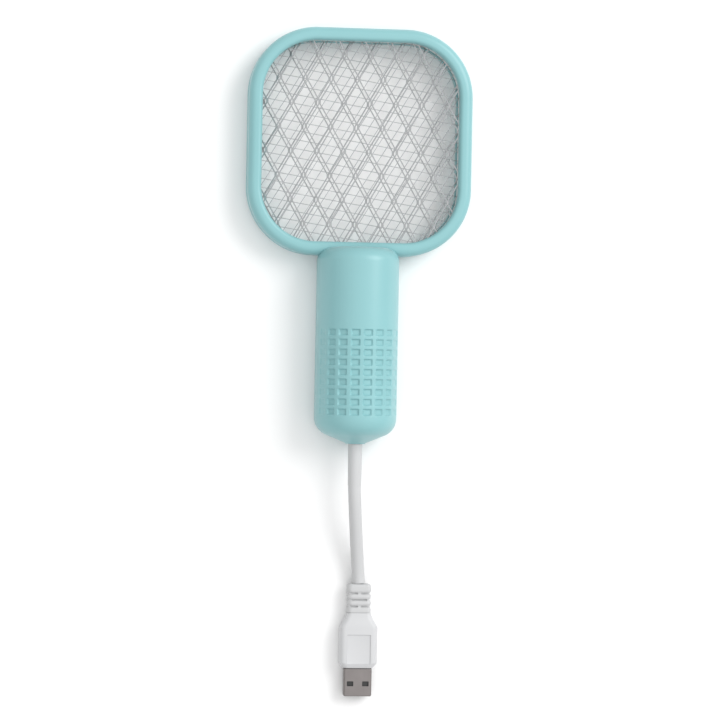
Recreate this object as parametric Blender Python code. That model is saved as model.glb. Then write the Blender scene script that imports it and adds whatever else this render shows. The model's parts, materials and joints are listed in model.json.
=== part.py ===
"""A small rechargeable electric fly swatter with a USB lead, lying on its flat back.

Metres, +Z up, +Y towards the head, -Y towards the lead. The origin is on the surface the
swatter lies on, under the middle of the swatter itself: the lead and its plug don't count.
"""

import math

import bmesh
import bpy
from mathutils import Vector

MM = 0.001
GAP = 0.3 * MM  # left between pieces that touch

# Head: a rounded square ring that holds three metal meshes
HEAD_WIDTH = 96.0 * MM
HEAD_LENGTH = 97.0 * MM
HEAD_DEPTH = 14.0 * MM
HEAD_CORNER = 29.0 * MM
RIM_WIDTH = 5.7 * MM
RIM_OUTER_ROUND = 3.2 * MM
RIM_INNER_ROUND = 1.8 * MM
RIM_BACK_ROUND = 1.8 * MM
RIM_WALL = 2.0 * MM  # plastic outside the channel that holds the meshes
CORNER_STEPS = 6
TOTAL_LENGTH = 177.2 * MM
HEAD_CENTRE_Y = (TOTAL_LENGTH - HEAD_LENGTH) / 2

# Where the two shells meet, and the stack of meshes that they clamp, as heights from there
PARTING_Z = HEAD_DEPTH / 2
GRID_HALF = 0.25 * MM
SPACER_HEIGHTS = (0.55 * MM, 1.9 * MM)
GUARD_HEIGHTS = (2.2 * MM, 2.8 * MM)
CHANNEL_HALF = 3.1 * MM

# Meshes: two coarse diamond guards, and between them the fine grid that is live
GUARD_ANGLES = (61.6, -61.6)  # degrees, which way the strands run
GUARD_PITCH = 9.85 * MM  # between strands, square to them
GUARD_STRAND = 0.9 * MM
GUARD_CROSSING = (4.6 * MM, 16.6 * MM)  # one crossing of the front guard, from the head's centre
REAR_GUARD_SHIFT = -1.4 * MM
GRID_ANGLES = (-9.0, 58.5)
GRID_PITCH = 11.1 * MM  # every third wire of the real grid
GRID_WIRE = 0.5 * MM
SMALLEST_HOLE = 1.5 * MM * MM
TAB_X = {"guard": -5.0 * MM, "grid": 5.0 * MM}  # solder tabs at the meshes' lower edge
TAB_WIDTH = 3.0 * MM
TAB_END_Y = -12.5 * MM

# Handle: a half-round front on a flat back
HANDLE_RADIUS = 17.35 * MM
AXIS_Z = 12.0 * MM
BACK_ROUND = 7.0 * MM
SHOULDER_Y = -5.0 * MM
SHOULDER_ROUND = 6.0 * MM
TIP_Y = -TOTAL_LENGTH / 2
TIP_RADIUS = 4.2 * MM
TIP_LIP = 0.3 * MM  # the short straight end round the lead
TAIL_ROUND = 8.0 * MM
TAIL_SLOPE = math.radians(68)  # between the tail's cone and the handle's side
WALL = 2.0 * MM
CAVITY_Y = (-80.0 * MM, -9.5 * MM)

# Grip: recessed squares in eight columns and nine rows
GRIP_COLUMNS = 8
GRIP_ROWS = 9
GRIP_TOP_Y = -39.9 * MM
GRIP_ROW_PITCH = 4.2 * MM
GRIP_ROW_HEIGHT = 2.8 * MM
GRIP_COLUMN_PITCH = math.radians(18.15)
GRIP_COLUMN_WIDTH = math.radians(12.6)
GRIP_DEPTH = 0.6 * MM
GRIP_OUTER_DEPTH = 0.2 * MM  # the outermost columns face sideways and are shallow
GRIP_DRAFT = 0.2 * MM

# Screws from the back, into posts under the front shell
SCREW_X = 12.2 * MM
SCREW_YS = (-15.0 * MM, -72.0 * MM)
SCREW_HEAD_RADIUS = 2.2 * MM
SCREW_HEAD_Z = (1.2 * MM, 2.9 * MM)
SCREW_RADIUS = 1.2 * MM
SCREW_TOP_Z = 12.5 * MM
POST_RADIUS = 2.7 * MM
POST_TOP_Z = 20.5 * MM

# Circuit board and what is on it
BOARD_HALF_X = 13.5 * MM
BOARD_Y = (-41.5 * MM, -18.5 * MM)
BOARD_Z = (8.2 * MM, 9.4 * MM)
PART_Z = BOARD_Z[1] + GAP  # the underside of everything that stands on the board

# Blocks on the board: centre, size, finish and rounding
BOARD_BLOCKS = {
    "hv_capacitor": (
        (-7.5 * MM, -33.5 * MM),
        (10.0 * MM, 4.4 * MM, 8.0 * MM),
        "capacitor_red",
        0.8 * MM,
    ),
    "drive_transistor": (
        (5.5 * MM, -26.8 * MM),
        (4.4 * MM, 3.4 * MM, 6.4 * MM),
        "component_black",
        0.5 * MM,
    ),
    "charge_chip": (
        (5.6 * MM, -21.6 * MM),
        (4.9 * MM, 3.9 * MM, 1.5 * MM),
        "component_black",
        0.2 * MM,
    ),
}

# Parts on bent wires: where the wires end, and the body's half-length and radius
DIODES = 3
DIODE_FIRST_Y = -31.8 * MM
DIODE_PITCH = 3.1 * MM
DIODE_ENDS_X = (-1.2 * MM, 7.0 * MM)
DIODE_BODY = (2.3 * MM, 1.2 * MM)
RESISTOR_Y = -38.2 * MM
RESISTOR_ENDS_X = (-11.5 * MM, -3.0 * MM)
RESISTOR_BODY = (2.9 * MM, 1.1 * MM)

# Push button in the flat back
BUTTON_Y = -27.0 * MM
BUTTON_RADIUS = 5.0 * MM
BUTTON_FLANGE_RADIUS = 6.2 * MM
BUTTON_FACE_Z = 0.8 * MM
BUTTON_TRAVEL = 1.0 * MM
DISH_RADIUS = 8.0 * MM
DISH_DEPTH = 0.5 * MM

# Power switch in the right side, above the parting line
SWITCH_Y = -31.0 * MM
SWITCH_TRAVEL = 3.0 * MM
SWITCH_Z = 11.4 * MM
SLOT_HALF_Z = 1.9 * MM
KNOB_HALF_Y = 3.0 * MM
KNOB_OUT_X = HANDLE_RADIUS - 0.1 * MM

# Charge light beside the switch
LIGHT_Y = -21.5 * MM
LIGHT_Z = 11.4 * MM
LIGHT_RADIUS = 1.2 * MM

# Cell behind the board
CELL_RADIUS = 8.25 * MM
CELL_Y = (-78.0 * MM, -44.0 * MM)
CELL_Z = 12.6 * MM

# Wires inside the handle: finish and route, in millimetres, each ending just short of its joint
INNER_WIRE_RADIUS = 0.6 * MM
INNER_WIRES = {
    "cell_wire_positive": (
        "wire_red",
        (
            (0.0, -42.6, 20.6),
            (0.4, -41.8, 20.4),
            (1.4, -40.6, 17.5),
            (1.8, -40.2, 14.0),
            (1.8, -40.0, 10.8),
        ),
    ),
    "cell_wire_negative": (
        "wire_black",
        (
            (-2.0, -79.2, 20.6),
            (-3.5, -78.4, 22.2),
            (-4.0, -74.0, 22.6),
            (-4.0, -60.0, 22.6),
            (-4.0, -46.0, 22.4),
            (-3.6, -42.2, 19.0),
            (-2.4, -40.8, 14.0),
            (-2.2, -40.4, 10.8),
        ),
    ),
    "usb_wire_red": (
        "wire_red",
        (
            (1.0, -81.2, 12.3),
            (1.6, -80.0, 13.0),
            (4.2, -78.9, 16.2),
            (7.6, -76.6, 20.6),
            (7.6, -62.0, 20.8),
            (7.6, -47.0, 20.6),
            (9.5, -42.6, 15.0),
            (10.6, -40.6, 10.8),
        ),
    ),
    "usb_wire_black": (
        "wire_black",
        (
            (-1.0, -81.2, 12.3),
            (-1.6, -80.0, 13.0),
            (-4.2, -78.9, 16.2),
            (-7.6, -76.6, 20.6),
            (-7.6, -62.0, 20.8),
            (-7.6, -47.0, 20.6),
            (-11.0, -43.6, 15.0),
            (-12.6, -41.0, 10.8),
        ),
    ),
    "grid_wire": (
        "wire_red",
        (
            (5.0, -13.4, 7.0),
            (5.4, -14.6, 7.4),
            (6.6, -16.4, 9.6),
            (8.0, -18.6, 11.6),
            (8.6, -19.6, 10.6),
        ),
    ),
    "front_guard_wire": (
        "wire_black",
        (
            (-5.0, -13.4, 9.5),
            (-5.0, -14.8, 10.2),
            (-4.6, -17.4, 12.0),
            (-4.0, -19.4, 11.0),
        ),
    ),
    "rear_guard_wire": (
        "wire_black",
        (
            (-5.0, -13.4, 4.5),
            (-5.4, -14.6, 4.6),
            (-7.4, -16.8, 8.4),
            (-8.0, -18.2, 11.6),
            (-8.0, -19.4, 11.0),
        ),
    ),
}

# Lead and plug
LEAD_RADIUS = 2.75 * MM
RELIEF_FLANGE_RADIUS = 4.6 * MM
RELIEF_RADIUS = 3.05 * MM
RELIEF_END_RADIUS = 2.85 * MM
RELIEF_LENGTH = 18.0 * MM
RELIEF_FLANGE_Y = (-84.3 * MM, -81.6 * MM)
RELIEF_POCKET_Y = (-84.6 * MM, -79.0 * MM)
PLUG_X = 3.7 * MM
PLUG_Z = 4.2 * MM
BOOT_Y = (-161.0 * MM, -148.8 * MM)
BOOT_HALF = (5.05 * MM, 3.6 * MM)  # half-width and half-height
BOOT_SLOTS = (  # each row's place along the boot, and where its slots run across it
    (-152.8 * MM, ((-4.6 * MM, -0.6 * MM), (0.6 * MM, 4.6 * MM))),
    (-155.6 * MM, ((-3.4 * MM, 3.4 * MM),)),
    (-158.4 * MM, ((-4.6 * MM, -0.6 * MM), (0.6 * MM, 4.6 * MM))),
)
BOOT_SLOT_HALF = 0.4 * MM
BOOT_CORE_HALF = 2.4 * MM  # what the slots leave, above and below the middle
BODY_Y = (-184.8 * MM, -161.3 * MM)
BODY_HALF_WIDTH = 8.1 * MM
BODY_NECK = (  # positions and half-widths from the boot to the full width
    (BODY_Y[1], 5.1 * MM),
    (-162.6 * MM, 5.5 * MM),
    (-164.6 * MM, 6.5 * MM),
    (-167.0 * MM, 7.9 * MM),
)
BODY_STRAIGHT_Y = (-182.8 * MM, -168.4 * MM)
BODY_END_HALF_WIDTH = 6.4 * MM
PANEL_Y = (-183.0 * MM, -170.4 * MM)
PANEL_HALF_WIDTH = 5.1 * MM
PANEL_DEPTH = 0.4 * MM
PLUG_SHELL_Y = (-196.9 * MM, -185.1 * MM)
PLUG_SHELL_HALF = (6.0 * MM, 2.25 * MM)  # the standard plug's 12.0 by 4.5 mm
PLUG_SHELL_WALL = 0.3 * MM
WINDOW_XS = (-3.3 * MM, 3.3 * MM)
WINDOW_HALF_WIDTH = 1.4 * MM
WINDOW_Y = (-192.6 * MM, -190.5 * MM)
CONTACT_XS = (-3.5 * MM, -1.0 * MM, 1.0 * MM, 3.5 * MM)

# The lead's way from the handle's tip to the plug: straight out, then down on to the surface
LEAD_ROUTE = (
    (0.0000, -0.0886, 0.0120),
    (0.0000, -0.0931, 0.0120),
    (0.0000, -0.0976, 0.0120),
    (0.0000, -0.1021, 0.0120),
    (0.0000, -0.1066, 0.0120),
    (0.0002, -0.1108, 0.0118),
    (0.0005, -0.1150, 0.0112),
    (0.0008, -0.1192, 0.0103),
    (0.0012, -0.1234, 0.0093),
    (0.0016, -0.1276, 0.0081),
    (0.0020, -0.1317, 0.0070),
    (0.0024, -0.1359, 0.0059),
    (0.0028, -0.1401, 0.0050),
    (0.0032, -0.1443, 0.0044),
    (0.0036, -0.1485, 0.0042),
)

# Colours as red, green, blue, then metallic and roughness
FINISHES = {
    "mint_plastic": ((0.38, 0.66, 0.67), 0.0, 0.32),
    "mesh_steel": ((0.55, 0.56, 0.57), 1.0, 0.35),
    "spacer_plastic": ((0.75, 0.78, 0.78), 0.0, 0.5),
    "board_green": ((0.03, 0.22, 0.10), 0.0, 0.45),
    "cell_sleeve": ((0.10, 0.24, 0.55), 0.0, 0.35),
    "nickel": ((0.60, 0.58, 0.54), 1.0, 0.3),
    "ferrite": ((0.05, 0.05, 0.05), 0.0, 0.6),
    "coil_tape": ((0.80, 0.62, 0.10), 0.0, 0.5),
    "capacitor_red": ((0.45, 0.06, 0.03), 0.0, 0.35),
    "component_black": ((0.03, 0.03, 0.03), 0.0, 0.4),
    "resistor_tan": ((0.62, 0.48, 0.28), 0.0, 0.45),
    "white_plastic": ((0.78, 0.79, 0.79), 0.0, 0.4),
    "clear_plastic": ((0.85, 0.87, 0.87), 0.0, 0.15),
    "screw_steel": ((0.50, 0.50, 0.51), 1.0, 0.3),
    "wire_red": ((0.60, 0.03, 0.03), 0.0, 0.4),
    "wire_black": ((0.02, 0.02, 0.02), 0.0, 0.4),
    "lead_white": ((0.72, 0.73, 0.73), 0.0, 0.45),
    "plug_steel": ((0.32, 0.30, 0.29), 1.0, 0.35),
    "contact_gold": ((0.80, 0.58, 0.22), 1.0, 0.3),
}


# ---------------------------------------------------------------- objects


def material(name):
    """The named finish as a Principled material, made the first time it is asked for."""
    found = bpy.data.materials.get(name)
    if found:
        return found
    colour, metallic, roughness = FINISHES[name]
    made = bpy.data.materials.new(name)
    made.use_nodes = True
    shader = made.node_tree.nodes["Principled BSDF"]
    shader.inputs["Base Color"].default_value = (*colour, 1.0)
    shader.inputs["Metallic"].default_value = metallic
    shader.inputs["Roughness"].default_value = roughness
    return made


def new_object(name, shape, finish=None):
    """Turns a bmesh into an object; without a finish it is a cutter, which isn't built."""
    bmesh.ops.recalc_face_normals(shape, faces=shape.faces)
    mesh = bpy.data.meshes.new(name)
    shape.to_mesh(mesh)
    shape.free()
    made = bpy.data.objects.new(name, mesh)
    bpy.context.collection.objects.link(made)
    if finish:
        mesh.materials.append(material(finish))
        mesh.shade_smooth()
        mesh.set_sharp_from_angle(angle=math.radians(35))
    else:
        made.hide_render = True
        made.display_type = "WIRE"
    return made


def apply_boolean(target, tool, operation):
    """Adds a Boolean modifier that joins the tool to the target or cuts it out."""
    modifier = target.modifiers.new(tool.name, "BOOLEAN")
    modifier.operation = operation
    modifier.solver = "EXACT"
    modifier.object = tool


def cut(target, *tools):
    for tool in tools:
        apply_boolean(target, tool, "DIFFERENCE")


def join(target, *tools):
    for tool in tools:
        apply_boolean(target, tool, "UNION")


def round_edges(target, width, segments=1):
    modifier = target.modifiers.new("rounded edges", "BEVEL")
    modifier.width = width
    modifier.segments = segments
    modifier.limit_method = "ANGLE"


# ---------------------------------------------------------------- shapes


def loft(name, rings, finish=None, closed=False):
    """A skin over rings of points, capped at both ends unless the rings close on themselves."""
    shape = bmesh.new()
    made = [[shape.verts.new(point) for point in ring] for ring in rings]
    pairs = list(zip(made, made[1:]))
    if closed:
        pairs.append((made[-1], made[0]))
    for here, there in pairs:
        for i, vertex in enumerate(here):
            following = (i + 1) % len(here)
            shape.faces.new((vertex, here[following], there[following], there[i]))
    if not closed:
        shape.faces.new(made[0])
        shape.faces.new(made[-1])
    return new_object(name, shape, finish)


def box(name, low, high, finish=None, bevel=0.0):
    """A box between two corners."""
    (x0, y0, z0), (x1, y1, z1) = low, high
    outline = ((x0, y0), (x1, y0), (x1, y1), (x0, y1))
    rings = [[(x, y, z) for x, y in outline] for z in (z0, z1)]
    made = loft(name, rings, finish)
    if bevel:
        round_edges(made, bevel)
    return made


def turned(name, profile, base, axis, finish=None, sides=16):
    """A solid of revolution: radii at distances along the axis from the base point."""
    turn = Vector((0, 0, 1)).rotation_difference(Vector(axis)).to_matrix()
    rings = []
    for radius, distance in profile:
        ring = []
        for i in range(sides):
            angle = 2 * math.pi * (i + 0.5) / sides
            local = Vector((radius * math.cos(angle), radius * math.sin(angle), distance))
            ring.append(Vector(base) + turn @ local)
        rings.append(ring)
    return loft(name, rings, finish)


def tube(name, points, radius, finish, resolution=2):
    """A wire or cable: a round tube along a chain of points, with filled caps."""
    curve = bpy.data.curves.new(name, "CURVE")
    curve.dimensions = "3D"
    curve.bevel_depth = radius
    curve.bevel_resolution = resolution
    curve.use_fill_caps = True
    spline = curve.splines.new("POLY")
    spline.points.add(len(points) - 1)
    for target, point in zip(spline.points, points):
        target.co = (*point, 1.0)
    curve.materials.append(material(finish))
    made = bpy.data.objects.new(name, curve)
    bpy.context.collection.objects.link(made)
    return made


def smooth_points(points, steps):
    """Points along the Catmull-Rom curve through a route's points."""
    chain = [Vector(point) for point in points]
    chain = [2 * chain[0] - chain[1], *chain, 2 * chain[-1] - chain[-2]]
    found = [chain[1]]
    for before, start, end, after in zip(chain, chain[1:], chain[2:], chain[3:]):
        for step in range(1, steps + 1):
            t = step / steps
            linear = (end - before) * t
            square = (2 * before - 5 * start + 4 * end - after) * t * t
            cube = (3 * start - before - 3 * end + after) * t**3
            found.append(start + (linear + square + cube) / 2)
    return found


def lerp(start, end, share):
    return start + (end - start) * share


# ---------------------------------------------------------------- head


def rounded_square(inset):
    """The head's outline, moved inwards, as x and y."""
    radius = HEAD_CORNER - inset
    points = []
    for quarter in range(4):
        sign_x = 1 if quarter in (0, 3) else -1
        sign_y = 1 if quarter in (0, 1) else -1
        centre_x = sign_x * (HEAD_WIDTH / 2 - HEAD_CORNER)
        centre_y = HEAD_CENTRE_Y + sign_y * (HEAD_LENGTH / 2 - HEAD_CORNER)
        for step in range(CORNER_STEPS + 1):
            angle = (quarter + step / CORNER_STEPS) * math.pi / 2
            x = centre_x + radius * math.cos(angle)
            y = centre_y + radius * math.sin(angle)
            points.append((x, y))
    return points


def ring(name, section, finish=None):
    """A ring round the head: its section is a closed outline of insets and heights."""
    outlines = [[(x, y, z) for x, y in rounded_square(inset)] for inset, z in section]
    return loft(name, outlines, finish, closed=True)


def rim_section():
    """The rim's whole outer form: rounded in front, nearly flat behind."""
    top = HEAD_DEPTH
    section = [(0.0, RIM_BACK_ROUND), (0.0, top - RIM_OUTER_ROUND)]
    for degrees in (30, 60, 90):
        angle = math.radians(degrees)
        inset = RIM_OUTER_ROUND * (1 - math.cos(angle))
        section.append((inset, top - RIM_OUTER_ROUND * (1 - math.sin(angle))))
    for degrees in (90, 45, 0):
        angle = math.radians(degrees)
        inset = RIM_WIDTH - RIM_INNER_ROUND * (1 - math.cos(angle))
        section.append((inset, top - RIM_INNER_ROUND * (1 - math.sin(angle))))
    section.append((RIM_WIDTH, 0.0))
    section.append((RIM_BACK_ROUND, 0.0))
    section.append((RIM_BACK_ROUND * 0.29, RIM_BACK_ROUND * 0.29))
    return section


def strand_normal(degrees):
    """The direction square to strands that run at this angle."""
    angle = math.radians(degrees)
    return Vector((-math.sin(angle), math.cos(angle)))


def lattice_cell(normals, spans):
    """The four-sided hole between two pairs of strands, as points from the crossing."""
    (a, b), turn = normals, normals[0].cross(normals[1])
    corners = []
    for first, second in ((0, 0), (1, 0), (1, 1), (0, 1)):
        u = spans[0][first]
        v = spans[1][second]
        corners.append(Vector(((u * b.y - v * a.y) / turn, (v * a.x - u * b.x) / turn)))
    return corners


def clipped(polygon, outline):
    """The part of a convex polygon that is inside a convex outline that runs anticlockwise."""
    for start, end in zip(outline, outline[1:] + outline[:1]):
        side = Vector(end) - Vector(start)
        kept = []
        for here, there in zip(polygon, polygon[1:] + polygon[:1]):
            inside = side.cross(here - Vector(start))
            ahead = side.cross(there - Vector(start))
            if inside >= 0:
                kept.append(here)
            if (inside >= 0) != (ahead >= 0):
                kept.append(here.lerp(there, inside / (inside - ahead)))
        polygon = kept
        if len(polygon) < 3:
            return []
    return polygon


def without_short_sides(polygon):
    """Drops corners that are closer than 0.05 mm to the next one."""
    following = polygon[1:] + polygon[:1]
    return [here for here, there in zip(polygon, following) if (here - there).length > 0.05 * MM]


def area(polygon):
    following = polygon[1:] + polygon[:1]
    return abs(sum(here.cross(there) for here, there in zip(polygon, following))) / 2


def lattice_holes(angles, pitch, strand, crossing, inset):
    """Every hole of a lattice of strands, cut off at the head's outline at that inset."""
    normals = [strand_normal(degrees) for degrees in angles]
    outline = rounded_square(inset)
    centre = Vector(crossing) + Vector((0, HEAD_CENTRE_Y))
    reach = math.ceil(HEAD_LENGTH / pitch)
    holes = []
    for i in range(-reach, reach):
        for j in range(-reach, reach):
            spans = [(k * pitch + strand / 2, (k + 1) * pitch - strand / 2) for k in (i, j)]
            cell = [centre + corner for corner in lattice_cell(normals, spans)]
            hole = clipped(cell, outline)
            hole = without_short_sides(hole) if hole else hole
            if len(hole) > 2 and area(hole) > SMALLEST_HOLE:
                holes.append(hole)
    return holes


def with_tab(outline, tab_x):
    """The outline with a solder tab that reaches into the handle, at its lower edge."""
    half = TAB_WIDTH / 2
    lower = min(y for _, y in outline)
    first = next(i for i, (x, y) in enumerate(outline) if x > 0 and y < lower + 0.01 * MM)
    tab = [(tab_x - half, lower), (tab_x - half, TAB_END_Y)]
    tab += [(tab_x + half, TAB_END_Y), (tab_x + half, lower)]
    return outline[:first] + tab + outline[first:]


def pierced_plate(name, outline, holes, z_range, finish):
    """A flat sheet with holes through it."""
    shape = bmesh.new()
    edges = []
    for loop in [outline, *holes]:
        vertices = [shape.verts.new((x, y, z_range[0])) for x, y in loop]
        for start, end in zip(vertices, vertices[1:] + vertices[:1]):
            edges.append(shape.edges.new((start, end)))
    bmesh.ops.triangle_fill(shape, use_beauty=True, edges=edges, normal=(0, 0, -1))
    raised = bmesh.ops.extrude_face_region(shape, geom=shape.faces[:])["geom"]
    moved = [item for item in raised if isinstance(item, bmesh.types.BMVert)]
    bmesh.ops.translate(shape, vec=(0, 0, z_range[1] - z_range[0]), verts=moved)
    return new_object(name, shape, finish)


def mesh_panel(name, lattice, heights, tab_x):
    """One metal mesh, with its border clamped in the rim's channel."""
    outline = with_tab(rounded_square(RIM_WALL + GAP), tab_x)
    holes = lattice_holes(*lattice, inset=RIM_WIDTH - 2 * GAP)
    z_range = sorted(PARTING_Z + height for height in heights)
    return pierced_plate(name, outline, holes, z_range, "mesh_steel")


def meshes():
    x, y = GUARD_CROSSING
    front = (GUARD_ANGLES, GUARD_PITCH, GUARD_STRAND, (x, y))
    rear = (GUARD_ANGLES, GUARD_PITCH, GUARD_STRAND, (x + REAR_GUARD_SHIFT, y))
    grid = (GRID_ANGLES, GRID_PITCH, GRID_WIRE, (0.0, 0.0))
    behind = [-height for height in GUARD_HEIGHTS]
    mesh_panel("front_guard_mesh", front, GUARD_HEIGHTS, TAB_X["guard"])
    mesh_panel("rear_guard_mesh", rear, behind, TAB_X["guard"])
    mesh_panel("inner_grid", grid, (-GRID_HALF, GRID_HALF), TAB_X["grid"])


def spacer_frames():
    """Two insulating frames that keep the live grid away from the guards."""
    for name, side in (("front_spacer_frame", 1), ("rear_spacer_frame", -1)):
        near, far = (PARTING_Z + side * height for height in SPACER_HEIGHTS)
        outer, inner = RIM_WALL + GAP, RIM_WIDTH - GAP
        ring(name, ((outer, near), (outer, far), (inner, far), (inner, near)), "spacer_plastic")


# ---------------------------------------------------------------- handle shells


def handle_section(y, half_width, depth, back_round, dome_angles):
    """One cross-section of the handle: a half-round front and a flat back with round corners."""
    points = []
    for angle in dome_angles:
        x = half_width * math.cos(angle)
        points.append((x, y, AXIS_Z + half_width * math.sin(angle)))
    for side in (-1, 1):
        corner = []
        for degrees in (0, 30, 60, 90):
            angle = math.radians(degrees)
            x = side * (half_width - back_round * (1 - math.cos(angle)))
            corner.append((x, y, AXIS_Z - depth + back_round * (1 - math.sin(angle))))
        points += corner if side < 0 else corner[::-1]
    return points


def tail_stations():
    """The tail's positions and half-widths: a rounding, a cone, and a short lip at the tip."""
    round_end = HANDLE_RADIUS - TAIL_ROUND * (1 - math.cos(TAIL_SLOPE))
    cone_length = (round_end - TIP_RADIUS) / math.tan(TAIL_SLOPE)
    straight_end = TIP_Y + TIP_LIP + cone_length + TAIL_ROUND * math.sin(TAIL_SLOPE)
    stations = []
    for share in (0, 1 / 3, 2 / 3, 1):
        angle = TAIL_SLOPE * share
        y = straight_end - TAIL_ROUND * math.sin(angle)
        stations.append((y, HANDLE_RADIUS - TAIL_ROUND * (1 - math.cos(angle))))
    return [*stations, (TIP_Y + TIP_LIP, TIP_RADIUS), (TIP_Y, TIP_RADIUS)]


def shoulder_stations():
    """The shoulder's positions and half-widths, from the end near the head."""
    stations = []
    for degrees in (0, 20, 45, 67.5, 90):
        angle = math.radians(degrees)
        y = SHOULDER_Y - SHOULDER_ROUND * (1 - math.cos(angle))
        stations.append((y, HANDLE_RADIUS - SHOULDER_ROUND * (1 - math.sin(angle))))
    return stations


def handle_rings(dome_angles, middle_ys=()):
    """Cross-sections from the shoulder to the tip; the tail closes in towards its round tip."""
    rings = []
    for y, half_width in shoulder_stations():
        rings.append(handle_section(y, half_width, AXIS_Z, BACK_ROUND, dome_angles))
    for y in middle_ys:
        rings.append(handle_section(y, HANDLE_RADIUS, AXIS_Z, BACK_ROUND, dome_angles))
    for y, half_width in tail_stations():
        share = (half_width - TIP_RADIUS) / (HANDLE_RADIUS - TIP_RADIUS)
        depth = lerp(TIP_RADIUS, AXIS_Z, share)
        back_round = lerp(TIP_RADIUS, BACK_ROUND, share) * 0.999
        rings.append(handle_section(y, half_width, depth, back_round, dome_angles))
    return rings


def grip_angles():
    """The dome's angles, with an edge at both sides of each grip column, and the columns."""
    angles = [0.0, math.radians(10)]
    columns = []
    for column in range(GRIP_COLUMNS):
        middle = math.pi / 2 + (column - (GRIP_COLUMNS - 1) / 2) * GRIP_COLUMN_PITCH
        columns.append(len(angles))
        angles += [middle - GRIP_COLUMN_WIDTH / 2, middle + GRIP_COLUMN_WIDTH / 2]
    return [*angles, math.radians(170), math.pi], columns


def gripped_handle(name, finish):
    """The handle's outer form with the grip's squares pressed into its front."""
    angles, columns = grip_angles()
    tops = [GRIP_TOP_Y - row * GRIP_ROW_PITCH for row in range(GRIP_ROWS)]
    middle_ys = [y for top in tops for y in (top, top - GRIP_ROW_HEIGHT)]
    made = loft(name, handle_rings(angles, middle_ys), finish)
    shape = bmesh.new()
    shape.from_mesh(made.data)
    shape.faces.ensure_lookup_table()
    first_row = len(shoulder_stations())
    per_ring = len(angles) + 8
    squares = {GRIP_DEPTH: [], GRIP_OUTER_DEPTH: []}
    for row in range(GRIP_ROWS):
        ring_start = (first_row + 2 * row) * per_ring
        for column in columns:
            outermost = column in (columns[0], columns[-1])
            depth = GRIP_OUTER_DEPTH if outermost else GRIP_DEPTH
            squares[depth].append(shape.faces[ring_start + column])
    for depth, faces in squares.items():
        bmesh.ops.inset_individual(shape, faces=faces, thickness=GRIP_DRAFT, depth=-depth)
    shape.to_mesh(made.data)
    shape.free()
    return made


def handle_cavity(name):
    """The space inside the handle, between the shoulder and the tail."""
    angles = [math.radians(15 * step) for step in range(13)]
    inner = HANDLE_RADIUS - WALL
    depth = AXIS_Z - WALL
    ends = sorted(CAVITY_Y, reverse=True)
    return loft(name, [handle_section(y, inner, depth, BACK_ROUND - WALL, angles) for y in ends])


def lead_passage(name):
    """The pocket for the strain relief's flange, and the hole in the tip."""
    far, near = RELIEF_POCKET_Y
    profile = (
        (RELIEF_FLANGE_RADIUS + GAP, -near),
        (RELIEF_FLANGE_RADIUS + GAP, -far),
        (RELIEF_RADIUS + GAP, -far),
        (RELIEF_RADIUS + GAP, -TIP_Y + 3.4 * MM),
    )
    return turned(name, profile, (0, 0, AXIS_Z), (0, -1, 0))


def mesh_channel(name):
    """The channel round the inside of the rim that clamps the meshes."""
    low, high = PARTING_Z - CHANNEL_HALF, PARTING_Z + CHANNEL_HALF
    outer, inner = RIM_WALL, RIM_WIDTH + 1.5 * MM
    return ring(name, ((outer, low), (outer, high), (inner, high), (inner, low)))


def tab_passage(name):
    """The opening between the handle and the rim's channel for the solder tabs."""
    half_x = 8.0 * MM
    half_z = CHANNEL_HALF - GAP
    low = (-half_x, -10.5 * MM, PARTING_Z - half_z)
    high = (half_x, -5.8 * MM, PARTING_Z + half_z)
    return box(name, low, high)


def half_space(name, z_range):
    """A block that takes away everything between two heights."""
    low = (-80 * MM, -120 * MM, z_range[0])
    high = (80 * MM, 120 * MM, z_range[1])
    return box(name, low, high)


def screw_places():
    return [(side * SCREW_X, y) for y in SCREW_YS for side in (-1, 1)]


def pillar(name, place, radius, z_range, finish=None):
    x, y = place
    return turned(name, ((radius, z_range[0]), (radius, z_range[1])), (x, y, 0), (0, 0, 1), finish, 12)


def hollow_with_rim(shell, prefix, other_half):
    """Hollows a whole handle, joins the rim to it, and takes away the other shell's half."""
    cut(shell, handle_cavity(f"{prefix}_cavity_cut"))
    cut(shell, lead_passage(f"{prefix}_lead_cut"))
    join(shell, ring(f"{prefix}_rim", rim_section()))
    cut(shell, half_space(f"{prefix}_split", other_half))
    cut(shell, mesh_channel(f"{prefix}_channel_cut"))
    cut(shell, tab_passage(f"{prefix}_tab_cut"))


def front_shell():
    shell = gripped_handle("front_shell", "mint_plastic")
    hollow_with_rim(shell, "front", (-10 * MM, PARTING_Z + GAP / 2))
    for i, place in enumerate(screw_places(), 1):
        join(shell, pillar(f"front_post_{i}", place, POST_RADIUS, (PARTING_Z + 2 * GAP, POST_TOP_Z)))
        cut(shell, pillar(f"front_pilot_{i}", place, SCREW_RADIUS + GAP, (0, SCREW_TOP_Z + 1 * MM)))
    slot_half_y = KNOB_HALF_Y + SWITCH_TRAVEL / 2 + 0.5 * MM
    low = (HANDLE_RADIUS - 2 * WALL, SWITCH_Y - slot_half_y, SWITCH_Z - SLOT_HALF_Z)
    high = (HANDLE_RADIUS + WALL, SWITCH_Y + slot_half_y, SWITCH_Z + SLOT_HALF_Z)
    cut(shell, box("switch_slot", low, high))
    profile = ((LIGHT_RADIUS + GAP, 13 * MM), (LIGHT_RADIUS + GAP, 20 * MM))
    cut(shell, turned("light_hole", profile, (0, LIGHT_Y, LIGHT_Z), (1, 0, 0), sides=12))


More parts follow.
